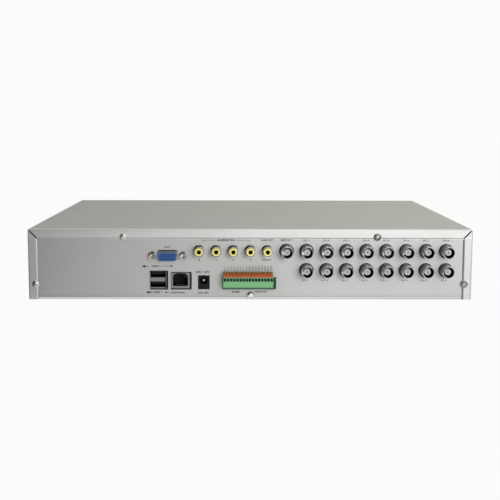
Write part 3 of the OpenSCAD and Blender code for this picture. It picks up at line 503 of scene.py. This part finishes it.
phono_out = (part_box("phono_inserts")[1].y - plate_high.y) / MM
bright_from = {"shell_steel": 0.3, "monitor_blue": -0.2, "phono_yellow": phono_out - 0.2}
# painted shade: black and dull behind these distances off the plate
for name, out_mm in bright_from.items():
    tree = finishes[name].node_tree
    darkened(name, more(tree, axes(tree)[1], plate_high.y + out_mm * MM))
print("bright from, in mm off the plate:", {name: round(out, 2) for name, out in bright_from.items()})

# %% [markdown]
# The coax barrels get painted shade on the right wall of the bore and on the upper left of the outer wall.
# The phono collars get painted shade at the upper left, and their yellow inserts painted shade round the
# hole. A finish for each jack would need some twenty of them. All jacks of a kind share one instead, and
# a coordinate that wraps at every pitch measures from the nearest jack's axis.

# %% Shaded jacks
COAX = ("coax_upper_1", "coax_upper_2", "coax_lower_2")
PHONO = ("phono_1", "phono_2")
BORE_RADIUS_MM, BORE_LEAN = 4.35, 3
BARREL_RADIUS_MM, BARREL_SHADE_MM = 4.6, 1.3
COLLAR_SHADE_MM, COLLAR_LEAN = 1.2, 0.6
INSERT_RADIUS_MM = 2.3


def from_axis(tree, first, beside, below=None):
    """How far a point is to the left of the nearest jack's axis, above it, and from it squared."""
    x, _, z = axes(tree)
    middle = seat[first] * MM
    step = (seat[beside].x - seat[first].x) * MM
    left = sums(tree, "WRAP", sums(tree, "ADD", x, middle.x), step / 2, -step / 2)
    above = sums(tree, "SUBTRACT", z, tray_low.z + middle.y)
    if below:
        row = middle.y - seat[below].y * MM
        above = sums(tree, "WRAP", above, row / 2, -row / 2)
    squares = [sums(tree, "MULTIPLY", way, way) for way in (left, above)]
    return left, above, sums(tree, "ADD", *squares)


tree = finishes["barrel_nickel"].node_tree
left, above, squared = from_axis(tree, *COAX)
left_wall = more(tree, sums(tree, "ADD", sums(tree, "MULTIPLY", left, BORE_LEAN), above), 0.0)
outside_bore = more(tree, squared, (BORE_RADIUS_MM * MM) ** 2)
# painted shade on the right wall of each coax bore
darkened("barrel_nickel", sums(tree, "MAXIMUM", outside_bore, left_wall))
outer_wall = more(tree, squared, (BARREL_RADIUS_MM * MM) ** 2)
upper_left = every(tree, more(tree, left, BARREL_SHADE_MM * MM), more(tree, above, 0.0))
# painted shade on the upper left of each barrel's outer wall
tinted("barrel_nickel", every(tree, upper_left, outer_wall), even(0.25))

tree = finishes["nickel"].node_tree
left, above, _ = from_axis(tree, *PHONO)
leaning = sums(tree, "ADD", left, sums(tree, "MULTIPLY", above, COLLAR_LEAN))
# painted shade at the upper left of each phono collar
tinted("nickel", more(tree, leaning, COLLAR_SHADE_MM * MM), (0.75, 0.73, 0.58))

tree = finishes["phono_yellow"].node_tree
squared = from_axis(tree, *PHONO)[2]
# painted shade round the hole of each phono insert
tinted("phono_yellow", less(tree, squared, (INSERT_RADIUS_MM * MM) ** 2), (0.7, 0.66, 0.4))
print("shaded: coax barrels, phono collars, phono inserts")

# %% [markdown]
# The monitor socket's thin plating gets a painted blue reflection of the insert beside it. Its flange gets
# painted light beyond the insert, apart from painted shade at the upper left of each jackscrew, where the
# screw's shade falls, and the jackscrews get painted shade on the right. The two case screws at the right
# get a painted dark reflection. Each of these is a mask again, because the pieces are too small for lamps of
# their own.

# %% Monitor socket and screws
INSERT_HALF_MM = 9.6
JACKSCREW_PITCH_MM = 25
FLANGE_SHADE_MM = 1.0
JACKSCREW_SHADE_MM = -0.5
RIGHT_SCREWS_U = 50
monitor = seat["monitor_port"]


def from_jackscrew(tree):
    """How far a point is to the left of the nearest jackscrew's axis, and above it."""
    x, _, z = axes(tree)
    half = JACKSCREW_PITCH_MM / 2
    first = sums(tree, "ADD", x, (monitor.x - half) * MM)
    left = sums(tree, "WRAP", first, half * MM, -half * MM)
    return left, sums(tree, "SUBTRACT", z, tray_low.z + monitor.y * MM)


tree = finishes["monitor_steel"].node_tree
from_middle = sums(tree, "ABSOLUTE", sums(tree, "ADD", axes(tree)[0], monitor.x * MM))
# painted reflection of the blue insert on the plating beside it
tinted("monitor_steel", less(tree, from_middle, INSERT_HALF_MM * MM), (0.98, 1.18, 1.32))
flange = more(tree, from_middle, INSERT_HALF_MM * MM)
upper_left = more(tree, sums(tree, "ADD", *from_jackscrew(tree)), FLANGE_SHADE_MM * MM)
# painted light on the flange beyond the insert
tinted("monitor_steel", flange, even(1.7))
# painted shade at the upper left of each jackscrew
tinted("monitor_steel", every(tree, flange, upper_left), even(0.36))

tree = finishes["jackscrew_nickel"].node_tree
right_half = less(tree, from_jackscrew(tree)[0], JACKSCREW_SHADE_MM * MM)
# painted shade on the right half of each jackscrew
tinted("jackscrew_nickel", right_half, (0.5, 0.5, 0.48))
tree = finishes["screw_steel"].node_tree
# painted dark reflection on the two case screws at the right
tinted("screw_steel", less(tree, axes(tree)[0], -RIGHT_SCREWS_U * MM), (0.46, 0.46, 0.45))
print("jackscrews", JACKSCREW_PITCH_MM, "mm apart, flange beyond", INSERT_HALF_MM, "mm")

# %% [markdown]
# The rims of the two pressed shells, of the peripheral pair and of the network socket, get painted shade
# at the right, the bottom and the top. Shaded rims could be modelled, but they are only about a millimetre
# wide, so each shell's rim is found from its box and tinted.

# %% Rims of the pressed shells
OWN_MARGIN_MM = 0.1
# shell, and the width in mm of its painted shade at the right, the bottom and the top
SHELL_RIMS = (("stack_shell", 1.6, 0.8, 1.2), ("network_shield", 0.9, 0.9, 0.3))
tree = finishes["shell_steel"].node_tree
x, _, z = axes(tree)
for name, right_mm, bottom_mm, top_mm in SHELL_RIMS:
    low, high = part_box(name)
    rim = less(tree, x, low.x + right_mm * MM)
    rim = sums(tree, "MAXIMUM", rim, less(tree, z, low.z + bottom_mm * MM))
    rim = sums(tree, "MAXIMUM", rim, more(tree, z, high.z - top_mm * MM))
    own = within(tree, x, low.x - OWN_MARGIN_MM * MM, high.x + OWN_MARGIN_MM * MM)
    # painted shade on each shell's rim
    tinted("shell_steel", every(tree, rim, own), even(0.3))
print("dark rims:", [name for name, *_ in SHELL_RIMS])

# %% [markdown]
# A circuit board is glass fibre under green solder mask. Copper runs show through as slightly paler
# lines. They could be drawn one by one, but hardly any of the board is seen, so a brick pattern with thin
# mortar gives them at about the right scale. Along the rear edge the board is bare and darker.

# %% Circuit board
RUN_MM = 3.0
RUN_DEPTH_MM = 0.03
BARE_EDGE_MM = 6
finishes["circuit_board"], tree, shader = blank_finish("circuit_board", 0.35)
runs = texture(tree, "Brick", RUN_MM, squash=0.7, offset=0.37)
runs.inputs["Color1"].default_value = (0.008, 0.07, 0.03, 1)
runs.inputs["Color2"].default_value = (0.012, 0.085, 0.036, 1)
runs.inputs["Mortar"].default_value = (0.03, 0.17, 0.06, 1)
runs.inputs["Mortar Size"].default_value = 0.05
feed(tree, runs.outputs["Color"], shader.inputs["Base Color"])
bump(tree, shader, runs.outputs["Fac"], RUN_DEPTH_MM)
bare_edge = more(tree, axes(tree)[1], plate_high.y - BARE_EDGE_MM * MM)
tinted("circuit_board", bare_edge, (0.5, 0.12, 0.2))
print("finishes:", len(finishes))

# %% [markdown]
# The record says which slot each solid belongs to, so the finishes go on in one loop rather than by hand.
# A few nodes get a finish of their own: the coax barrels with their dark bores, the coax contacts and the
# power pin, which are tinned, the monitor shell with its blue cast, and the jackscrews, which are duller
# than the phono collars.

# %% Put the finishes on
slot_of = {part["node"]: part["material_slot"] for part in frame["record"]["subparts"]}
slot_of.update(coax_barrels="barrel_nickel", coax_contacts="contact_tin", power_pin="contact_tin")
slot_of.update(monitor_shell="monitor_steel", jackscrews="jackscrew_nickel")
for name, node in nodes.items():
    node.data.materials.clear()
    node.data.materials.append(finishes[slot_of[name]])
print("dressed:", len(slot_of), "nodes")

# %% [markdown]
# No real edge is sharp: a sheared sheet, a moulding and a turned rim all have a small radius that catches
# a line of light. The solids stay as they are, and a bevel modifier rounds their steep edges. A solid's
# mesh is loose triangles, so a weld comes first, without which the bevel would find no edges.

# %% Soft edges
WELD_MM = 0.002
STEEP = math.radians(40)
EDGE_MM = {
    "case_paint": 0.18, "bezel_plastic": 0.35, "plug_green": 0.15, "header_green": 0.2,
    "lever_orange": 0.15, "shell_steel": 0.15, "key_grey": 0.25, "key_red": 0.25, "drive_metal": 0.6,
    "window_plastic": 0.15,
}
for name, node in nodes.items():
    if slot_of[name] in EDGE_MM:
        weld = node.modifiers.new("weld", "WELD")
        weld.merge_threshold = WELD_MM * MM
        edge = node.modifiers.new("edge", "BEVEL")
        edge.width = EDGE_MM[slot_of[name]] * MM
        edge.segments = 2
        edge.limit_method = "ANGLE"
        edge.angle_limit = STEEP
print("softened:", sum(1 for node in nodes.values() if node.modifiers))

# %% [markdown]
# The legends were screen-printed on the plate. A picture of the words could be laid on it, but it would
# be soft close to. Here each word is set in Blender's own typeface, turned into a mesh, stretched to its
# printed width and laid a hair above the paint. All the words of one ink become one mesh.

# %% Lettering
LETTER_WEIGHT = 0.035
INK_OUT_MM = 0.03


def piece(name, mesh, finish, body="chassis"):
    """Finished object from a bmesh, with its finish, riding on a body."""
    data = bpy.data.meshes.new(name)
    mesh.to_mesh(data)
    mesh.free()
    data.materials.append(finish)
    obj = bpy.data.objects.new(name, data)
    scene.collection.objects.link(obj)
    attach(obj, body)
    return obj


def word_mesh(text):
    """Flat mesh of one word."""
    curve = bpy.data.curves.new("word", "FONT")
    curve.body = text
    curve.resolution_u = 3
    curve.offset = LETTER_WEIGHT
    word = bpy.data.objects.new("word", curve)
    scene.collection.objects.link(word)
    mesh = bpy.data.meshes.new_from_object(word.evaluated_get(bpy.context.evaluated_depsgraph_get()))
    bpy.data.objects.remove(word)
    bpy.data.curves.remove(curve)
    return mesh


def lettering(name, words, finish):
    """One mesh of words; each is text, u, h, width and height in mm on the plate, and turn in degrees."""
    sheet = bmesh.new()
    for text, u, h, width, height, turn in words:
        mesh = word_mesh(text)
        xs = [v.co.x for v in mesh.vertices]
        ys = [v.co.y for v in mesh.vertices]
        middle = Vector(((min(xs) + max(xs)) / 2, (min(ys) + max(ys)) / 2, 0))
        size = Matrix.Diagonal((width * MM / (max(xs) - min(xs)), height * MM / (max(ys) - min(ys)), 1, 1))
        spin = Matrix.Rotation(math.radians(turn), 4, "Z")
        mesh.transform(rear_place(u, h, INK_OUT_MM) @ spin @ size @ Matrix.Translation(-middle))
        sheet.from_mesh(mesh)
        bpy.data.meshes.remove(mesh)
    return piece(name, sheet, finish)


INK_GRAIN = dict(roughness=0.7, grain_mm=0.25, depth_mm=0.001)
INK = moulded("ink", (0.035, 0.035, 0.04), tone=0.3, Specular_IOR_Level=0.2, **INK_GRAIN)
PALE_INK = moulded("pale_ink", (0.16, 0.15, 0.15), tone=0.15, **INK_GRAIN)
print("inks:", INK.name, "and", PALE_INK.name)

# %% [markdown]
# The words say what each socket is for, and the numbers count the inputs. They could be placed by eye,
# but here each is counted sideways from its socket's mount, so it stays over or under its socket. The
# words of the coax inputs, of half of the wire strip and of the first two phono jacks are printed in the
# paler ink.

# %% Legends on the rear plate
WIRE_PITCH_MM = 2.5
NUMBER_DROP_MM = 7.2
strip = seat["wire_strip"]
stack = seat["peripheral_port_upper"]
net = seat["network_port"]
power = seat["power_jack"]
phono = [seat[f"phono_{i}"] for i in range(1, 6)]
inputs_u = (phono[0].x + phono[3].x) / 2
top_h = phono[0].y + 8.8
words = [
    ("OUT", monitor.x, monitor.y + 7.6, 4.6, 1.3, 0),
    ("PORT 2", stack.x - 1.6, 27.1, 7, 1.5, 0),
    ("PORT 1", stack.x - 0.4, 5.7, 7, 1.5, 0),
    ("NETWORK", net.x - 1.6, 5.4, 11, 1.2, 0),
    ("DC 12V", power.x - 0.7, 22.5, 11.2, 1.7, 0),
    ("DC IN", power.x - 0.6, 5.4, 8.4, 1.5, 0),
    ("AUDIO IN", inputs_u + 0.5, top_h, 14, 1.7, 0),
    ("AUDIO OUT", phono[4].x - 0.4, top_h, 9.4, 1.5, 0),
    ("LINE OUT", phono[4].x - 1, phono[4].y - 7.3, 7.4, 1.2, 0),
    ("VIDEO OUT", seat["coax_upper_1"].x - 0.6, top_h, 9, 1.5, 0),
    ("ALARM", strip.x - 10.4, 6.1, 6.4, 1.4, 0),
    ("SENSOR", strip.x + 10.2, 6.3, 10, 1.4, 0),
    ("3", phono[2].x, phono[2].y - NUMBER_DROP_MM, 0.9, 1.7, 0),
    ("4", phono[3].x, phono[3].y - NUMBER_DROP_MM, 1.1, 1.7, 0),
]
words += [(f"OUT {i}", strip.x + (i - 0.5) * WIRE_PITCH_MM, 25.4, 4.2, 1.25, 90) for i in range(1, 9)]
pale_words = [(f"IN {i - 1}", seat[f"coax_upper_{i}"].x - 0.2, top_h, 5, 1.5, 0) for i in range(2, 10)]
pale_words += [(f"IN {i + 7}", seat[f"coax_lower_{i}"].x - 1, 15.6, 4.8, 1.2, 0) for i in range(2, 10)]
pale_words += [(f"IN {i}", strip.x + (i - 8.5) * WIRE_PITCH_MM, 25.0, 3.2, 1.0, 90) for i in range(1, 9)]
pale_words += [(str(i), phono[i - 1].x, phono[i - 1].y - NUMBER_DROP_MM, 1.0, 1.7, 0) for i in (1, 2)]
lettering("legends", words, INK)
lettering("pale_legends", pale_words, PALE_INK)
print("legends:", len(words), "words in ink,", len(pale_words), "in pale ink")

# %% [markdown]
# A bracket joins the four audio inputs, and a line with a square end and an arrow belongs to each
# peripheral socket. Curves with a thickness could draw them, but they are all straight, so thin boxes and
# two flat outlines are enough.

# %% Rules and arrows
RULE_MM = 0.02
ARROW = [(-2.6, 0), (0.4, -1.2), (0.4, -0.35), (2.5, -0.35), (2.5, 0.35), (0.4, 0.35), (0.4, 1.2)]
rules = bmesh.new()


def bars(mesh, place, boxes):
    """Adds boxes to a bmesh; each is x0, y0, z0, x1, y1, z1 in millimetres in the frame of that place."""
    for x0, y0, z0, x1, y1, z1 in boxes:
        middle = Vector(((x0 + x1) / 2, (y0 + y1) / 2, (z0 + z1) / 2)) * MM
        size = Matrix.Diagonal(((x1 - x0) * MM, (y1 - y0) * MM, (z1 - z0) * MM, 1))
        bmesh.ops.create_cube(mesh, size=1, matrix=place @ Matrix.Translation(middle) @ size)


def ruled(u, h, *lines):
    """Adds printed lines; each is x0, y0, x1, y1 in millimetres from that place."""
    bars(rules, rear_place(u, h), [(x0, y0, 0, x1, y1, RULE_MM) for x0, y0, x1, y1 in lines])


left, right = phono[0].x + 3.2, phono[3].x - 0.4
ruled(0, top_h, (left, -0.15, inputs_u - 7.6, 0.15), (inputs_u + 8.6, -0.15, right, 0.15))
ruled(0, top_h, (left, -1.4, left + 0.3, -0.15), (right - 0.3, -1.4, right, -0.15))
ruled(stack.x, 27.2, (3, -0.15, 11.4, 0.15), (10.2, -0.6, 11.6, 0.6))
ruled(stack.x, 5.6, (5.7, -0.6, 7.1, 0.6), (7.1, -0.12, 11, 0.12))
for arrow_u, arrow_h in ((stack.x - 10.8, 27.1), (stack.x - 7.6, 5.7)):
    place = rear_place(arrow_u, arrow_h, INK_OUT_MM)
    rules.faces.new([rules.verts.new(place @ Vector((x * MM, y * MM, 0))) for x, y in ARROW])
legend_rules = piece("legend_rules", rules, INK)
print("rules:", len(legend_rules.data.polygons), "faces")

# %% [markdown]
# Two kinds of socket show fine metal inside. The network socket has eight sprung wires that rise from its
# floor, and each peripheral socket has four strips under its tongue. They are a few tenths of a
# millimetre thick, so they are made here as plain strips rather than as solids.

# %% Contacts in the sockets
SPRING_PITCH_MM, SPRING_HALF_MM = 1.02, 0.18
SPRING_RISE = Matrix.Rotation(math.radians(-28), 4, "X")
STRIP_PITCH_MM, STRIP_HALF_MM = 2.4, 0.5
wires = bmesh.new()
for k in range(8):
    low = (k - 3.5) * SPRING_PITCH_MM - SPRING_HALF_MM
    high = low + 2 * SPRING_HALF_MM
    bars(wires, rear_place(net.x, net.y), [(low, -2.9, -11.5, high, -2.6, -3.2)])
    bars(wires, rear_place(net.x, net.y - 2.75, -3.3) @ SPRING_RISE, [(low, -0.15, -7.5, high, 0.15, 0)])
network_wires = piece("network_wires", wires, finishes["contact_tin"])

strips = bmesh.new()
for port in (seat["peripheral_port_lower"], seat["peripheral_port_upper"]):
    for k in range(4):
        low = (k - 1.5) * STRIP_PITCH_MM - STRIP_HALF_MM
        high = low + 2 * STRIP_HALF_MM
        bars(strips, rear_place(port.x, port.y), [(low, -0.08, -10.5, high, 0.12, -3)])
tongue_strips = piece("tongue_strips", strips, finishes["contact_brass"])
print("contacts:", [len(contacts.data.polygons) for contacts in (network_wires, tongue_strips)], "faces")

# %% [markdown]
# Each coax barrel comes through the plate in a thin black moulded bush that fills the hole. It could be a
# flat washer, but its face is rounded off towards the plate, so it is pale only where it faces the lamp.
# Its section is a quarter round on a short stem, spun once round the barrel's axis.

# %% Coax bushes
BUSH_INNER_MM, BUSH_OUTER_MM, BUSH_OUT_MM, BUSH_IN_MM = 4.87, 5.93, 0.5, -1.0
QUARTER_STEPS = 6
ROUND_STEPS = 48
section = [(BUSH_INNER_MM, BUSH_IN_MM), (BUSH_OUTER_MM, BUSH_IN_MM)]
for k in range(QUARTER_STEPS + 1):
    turn = math.radians(90 * k / QUARTER_STEPS)
    radius = BUSH_INNER_MM + (BUSH_OUTER_MM - BUSH_INNER_MM) * math.cos(turn)
    section.append((radius, BUSH_OUT_MM * math.sin(turn)))
bushes = bmesh.new()
for middle in (place for name, place in seat.items() if name.startswith("coax_")):
    place = rear_place(middle.x, middle.y)
    loop = [bushes.verts.new(place @ Vector((radius * MM, 0, out * MM))) for radius, out in section]
    sides = [bushes.edges.new((loop[k - 1], loop[k])) for k in range(len(loop))]
    axis = place.to_3x3() @ Vector((0, 0, 1))
    bmesh.ops.spin(
        bushes, geom=loop + sides, cent=place.translation, axis=axis,
        angle=math.tau, steps=ROUND_STEPS, use_merge=True,
    )
bmesh.ops.recalc_face_normals(bushes, faces=bushes.faces)
for face in bushes.faces:
    face.smooth = True
for side in bushes.edges:
    side.smooth = len(side.link_faces) == 2 and side.calc_face_angle() < STEEP
coax_bushes = piece("coax_bushes", bushes, finishes["bush_black"])
print("bushes:", len(coax_bushes.data.polygons), "faces")

# %% [markdown]
# The sheet is pressed up into a low rim round each phono jack. The hole was pressed a little to the upper
# left of the jack, so the black housing shows in a crescent on that side and the rim meets the collar on
# the other. A spun section would be the same all round, so four circles are bridged instead, two of them
# off centre.

# %% Phono rims
RIM_FOOT_MM, RIM_TOP_MM, RIM_HOLE_MM = 5.1, 4.95, 4.5
RIM_IN_MM, RIM_OUT_MM = -0.1, 0.6
RIM_ASIDE = Vector((-0.36, 0.22))
rims = bmesh.new()
for middle in phono:
    hole = middle + RIM_ASIDE
    circles = []
    for centre, radius, out in (
        (middle, RIM_FOOT_MM, RIM_IN_MM),
        (middle, RIM_TOP_MM, RIM_OUT_MM),
        (hole, RIM_HOLE_MM, RIM_OUT_MM),
        (hole, RIM_HOLE_MM, RIM_IN_MM),
    ):
        place = rear_place(centre.x, centre.y, out)
        circle = bmesh.ops.create_circle(rims, segments=ROUND_STEPS, radius=radius * MM, matrix=place)
        circles.append({edge for vert in circle["verts"] for edge in vert.link_edges})
    for k in range(len(circles)):
        bmesh.ops.bridge_loops(rims, edges=list(circles[k - 1] | circles[k]))
bmesh.ops.recalc_face_normals(rims, faces=rims.faces)
phono_rims = piece("phono_rims", rims, finishes["panel_paint"])
print("rims:", len(phono_rims.data.polygons), "faces")

# %% [markdown]
# The front keys carry moulded marks: four arrows, a ring for enter and the common on-off sign. A key's
# face is dished, so a flat mark would cut into it or stand off. Each mark is drawn flat, the rings by
# spinning a short edge, then cut into small faces and dropped onto the dish.

# %% Key marks
KEY_ROUND_MM = 0.9
DISH_RATIO, DISH_DEPTH_MM = 2.5, 0.4
ARC_STEPS = 24
POINTER = [(1.8, 0), (-1.0, 1.5), (-1.0, -1.5)]
POWER_BAR = [(-0.22, 0.7), (0.22, 0.7), (0.22, 2.4), (-0.22, 2.4)]
KEY_INK = moulded("key_ink", (0.75, 0.75, 0.74), 0.5, grain_mm=0.3)


def arc(mesh, radius, width, start, end):
    """Adds a flat ring, or a part of one, from one angle to another in degrees."""
    turn = Matrix.Rotation(math.radians(start), 3, "Z")
    ends = [mesh.verts.new(turn @ Vector((radius + side * width / 2, 0, 0))) for side in (-1, 1)]
    bmesh.ops.spin(
        mesh, geom=[*ends, mesh.edges.new(ends)], axis=(0, 0, 1), angle=math.radians(end - start),
        steps=ARC_STEPS, use_merge=end - start == 360,
    )


def key_mark(name, outline=None, ring=None):
    """Mark that follows a key's dished face, from an outline in millimetres, a ring, or both."""
    low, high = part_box(name)
    middle = (low + high) / 2
    place = front_place(middle.x / MM, (middle.z - tray_low.z) / MM, (bezel_low.y - low.y) / MM)
    dish = DISH_RATIO * ((high.x - low.x) / 2 / MM - KEY_ROUND_MM)
    mesh = bmesh.new()
    if ring:
        arc(mesh, *ring)
    if outline:
        mesh.faces.new([mesh.verts.new((x, y, 0)) for x, y in outline])
    mesh.normal_update()
    bmesh.ops.reverse_faces(mesh, faces=[face for face in mesh.faces if face.normal.z < 0])
    bmesh.ops.triangulate(mesh, faces=mesh.faces[:])
    bmesh.ops.subdivide_edges(mesh, edges=mesh.edges[:], cuts=3, use_grid_fill=True)
    for vert in mesh.verts:
        drop = dish - math.sqrt(dish**2 - vert.co.x**2 - vert.co.y**2)
        vert.co.z = drop - DISH_DEPTH_MM + INK_OUT_MM
        vert.co = place @ (vert.co * MM)
    return piece(name + "_mark", mesh, KEY_INK, name)


marks = []
for name, turn in (("key_right", 0), ("key_up", 90), ("key_left", 180), ("key_down", 270)):
    c, s = math.cos(math.radians(turn)), math.sin(math.radians(turn))
    marks.append(key_mark(name, [(c * x - s * y, s * x + c * y) for x, y in POINTER]))
marks.append(key_mark("key_enter", ring=(2.0, 0.5, 0, 360)))
marks.append(key_mark("key_power", POWER_BAR, (1.8, 0.45, 125, 415)))
print("key marks:", [len(mark.data.polygons) for mark in marks], "faces")

# %% [markdown]
# The photograph was taken from behind, a little above and a little to the left of the middle, from about
# 0.8 m. A camera could be aimed with a constraint, but three angles and a place say all that there is to
# it. The place is in millimetres, counted outwards from the rear lip of the cover, and the angles are in
# radians.

# %% Camera
CAMERA_U, CAMERA_H, CAMERA_OUT = -10.43, 147.41, 806.2
YAW, PITCH, ROLL = 0.0122, 0.1317, 0.00294
LENS_MM, SENSOR_MM = 72.4, 36

forward = Vector((-math.sin(YAW) * math.cos(PITCH), -math.cos(YAW) * math.cos(PITCH), -math.sin(PITCH)))
level = Vector((-math.cos(YAW), math.sin(YAW), 0))
upright = level.cross(forward)
right = level * math.cos(ROLL) + upright * math.sin(ROLL)
up = upright * math.cos(ROLL) - level * math.sin(ROLL)

camera_data = bpy.data.cameras.new("camera")
camera_data.lens = LENS_MM
camera_data.sensor_width = SENSOR_MM
camera = bpy.data.objects.new("camera", camera_data)
scene.collection.objects.link(camera)
camera.matrix_world = Matrix((right, up, -forward)).transposed().to_4x4()
camera.location = (-CAMERA_U * MM, cover_high.y + CAMERA_OUT * MM, tray_low.z + CAMERA_H * MM)
scene.camera = camera
print("camera at", [round(v, 3) for v in camera.location])

# %% [markdown]
# The studio is white all round. Strong lamps on a white floor would make it so, but they would wash out
# the object. Instead the floor and the world are white to the camera and in reflections, and give only a
# plain, even light to the object itself. The floor keeps part of its own shading, so a soft shadow stays
# on it, and the world is set to the floor's level, so no horizon shows.

# %% Studio
WORLD_LEVEL = 0.34
BACKDROP_WHITE = 0.97
FLOOR_WHITE_SHARE = 0.95
FLOOR_SIZE = 12
MATT = 0.9


def seen_directly(tree):
    """1 for rays that the camera, a reflection or glass sends out, and 0 for those that only light things."""
    rays = tree.nodes.new("ShaderNodeLightPath").outputs
    seen = sums(tree, "MAXIMUM", rays["Is Camera Ray"], rays["Is Glossy Ray"])
    return sums(tree, "MAXIMUM", seen, rays["Is Transmission Ray"])


def stage_sheet(name, place, width, depth, material):
    """Flat sheet that belongs to the studio."""
    mesh = bmesh.new()
    bmesh.ops.create_grid(mesh, x_segments=1, y_segments=1, size=0.5)
    data = bpy.data.meshes.new(name)
    mesh.transform(place @ Matrix.Diagonal((width, depth, 1, 1)))
    mesh.to_mesh(data)
    mesh.free()
    data.materials.append(material)
    obj = bpy.data.objects.new(name, data)
    scene.collection.objects.link(obj)
    return obj


scene.view_settings.view_transform = "Standard"
scene.world = bpy.data.worlds.new("studio")
scene.world.use_nodes = True
tree = scene.world.node_tree
background = tree.nodes["Background"]
background.inputs["Color"].default_value = (1, 1, 1, 1)
feed(tree, spread(tree, seen_directly(tree), WORLD_LEVEL, BACKDROP_WHITE), background.inputs["Strength"])

floor_paint, tree, shader = blank_finish("floor_paint", MATT)
shader.inputs["Base Color"].default_value = (0.85, 0.85, 0.85, 1)
glow = tree.nodes.new("ShaderNodeEmission")
blend = tree.nodes.new("ShaderNodeMixShader")
feed(tree, spread(tree, seen_directly(tree), 0.0, FLOOR_WHITE_SHARE), blend.inputs["Fac"])
feed(tree, shader.outputs["BSDF"], blend.inputs[1])
feed(tree, glow.outputs["Emission"], blend.inputs[2])
feed(tree, blend.outputs["Shader"], tree.nodes["Material Output"].inputs["Surface"])
stage_sheet("floor", Matrix(), FLOOR_SIZE, FLOOR_SIZE, floor_paint)
print("studio: world", WORLD_LEVEL, "floor", FLOOR_SIZE, "m")

# %% [markdown]
# One lamp stands low behind the case and to the right, with a grid that keeps its light together, which
# is why the plate brightens towards that side. A high lamp would throw the jacks' shadows down the plate.

# %% Lamp
LAMP_PLACE = Vector((-0.24, 0.7, 0.13))
LAMP_AIM = Vector((-0.07, 0.145, 0.035))
LAMP_SIZE = 0.45
LAMP_WATTS = 0.61
LAMP_SPREAD = math.radians(65)
lamp_data = bpy.data.lights.new("key_lamp", "AREA")
lamp_data.shape = "RECTANGLE"
lamp_data.size = LAMP_SIZE
lamp_data.size_y = LAMP_SIZE
lamp_data.energy = LAMP_WATTS
lamp_data.spread = LAMP_SPREAD
lamp = bpy.data.objects.new("key_lamp", lamp_data)
scene.collection.objects.link(lamp)
lamp.location = LAMP_PLACE
lamp.rotation_euler = (LAMP_AIM - LAMP_PLACE).to_track_quat("-Z", "Y").to_euler()
print("lamp:", LAMP_WATTS, "W from", round((LAMP_AIM - LAMP_PLACE).length, 2), "m")

# %% [markdown]
# A photographer would stand cards round the object, so that coat and plated metal show a dark side as
# well as a bright one: upright ones on both sides and behind the camera, a flat one at the left, and one
# beyond the front that fades from grey to a warm white for the sheen of the top. Darker walls would do
# the same, but would also dim the room. The cards are seen in reflections only and take no light away.

# %% Cards
FADE_PER_M, FADE_MIDDLE = 0.9, 0.54
FADE_BRIGHT, FADE_DIM = 1.13, 0.31
FACING_SIDE = Matrix.Rotation(math.radians(90), 4, "Y")
FACING_REAR = Matrix.Rotation(math.radians(90), 4, "X")
FACING_UP = Matrix()
card_paint, tree, shader = blank_finish("card_paint", MATT)
shader.inputs["Base Color"].default_value = (0.03, 0.03, 0.03, 1)
fading_paint, tree, shader = blank_finish("fading_paint", MATT)
shader.inputs["Base Color"].default_value = (0, 0, 0, 1)
shader.inputs["Emission Color"].default_value = (1, 1, 0.76, 1)
fade = sums(tree, "MULTIPLY_ADD", axes(tree)[0], FADE_PER_M, FADE_MIDDLE)
feed(tree, spread(tree, fade, FADE_BRIGHT, FADE_DIM), shader.inputs["Emission Strength"])
# name, middle, turn, width and depth in metres, and paint
CARDS = (
    ("card_left", (0.75, 0.7, 0.6), FACING_SIDE, 1.2, 1.8, card_paint),
    ("card_behind", (0.75, 1.6, 0.8), FACING_REAR, 1.5, 1.6, card_paint),
    ("card_left_foot", (0.47, 0.4, 0.001), FACING_UP, 0.56, 1.6, card_paint),
    ("card_right", (-0.9, 0.45, 0.2), FACING_SIDE, 0.4, 0.6, card_paint),
    ("card_front", (0.3, -1.2, 0.36), FACING_REAR, 3.0, 0.72, fading_paint),
)
for name, middle, turn, width, depth, paint in CARDS:
    card = stage_sheet(name, Matrix.Translation(middle) @ turn, width, depth, paint)
    card.visible_camera = card.visible_diffuse = card.visible_transmission = card.visible_shadow = False
print("cards:", len(CARDS))
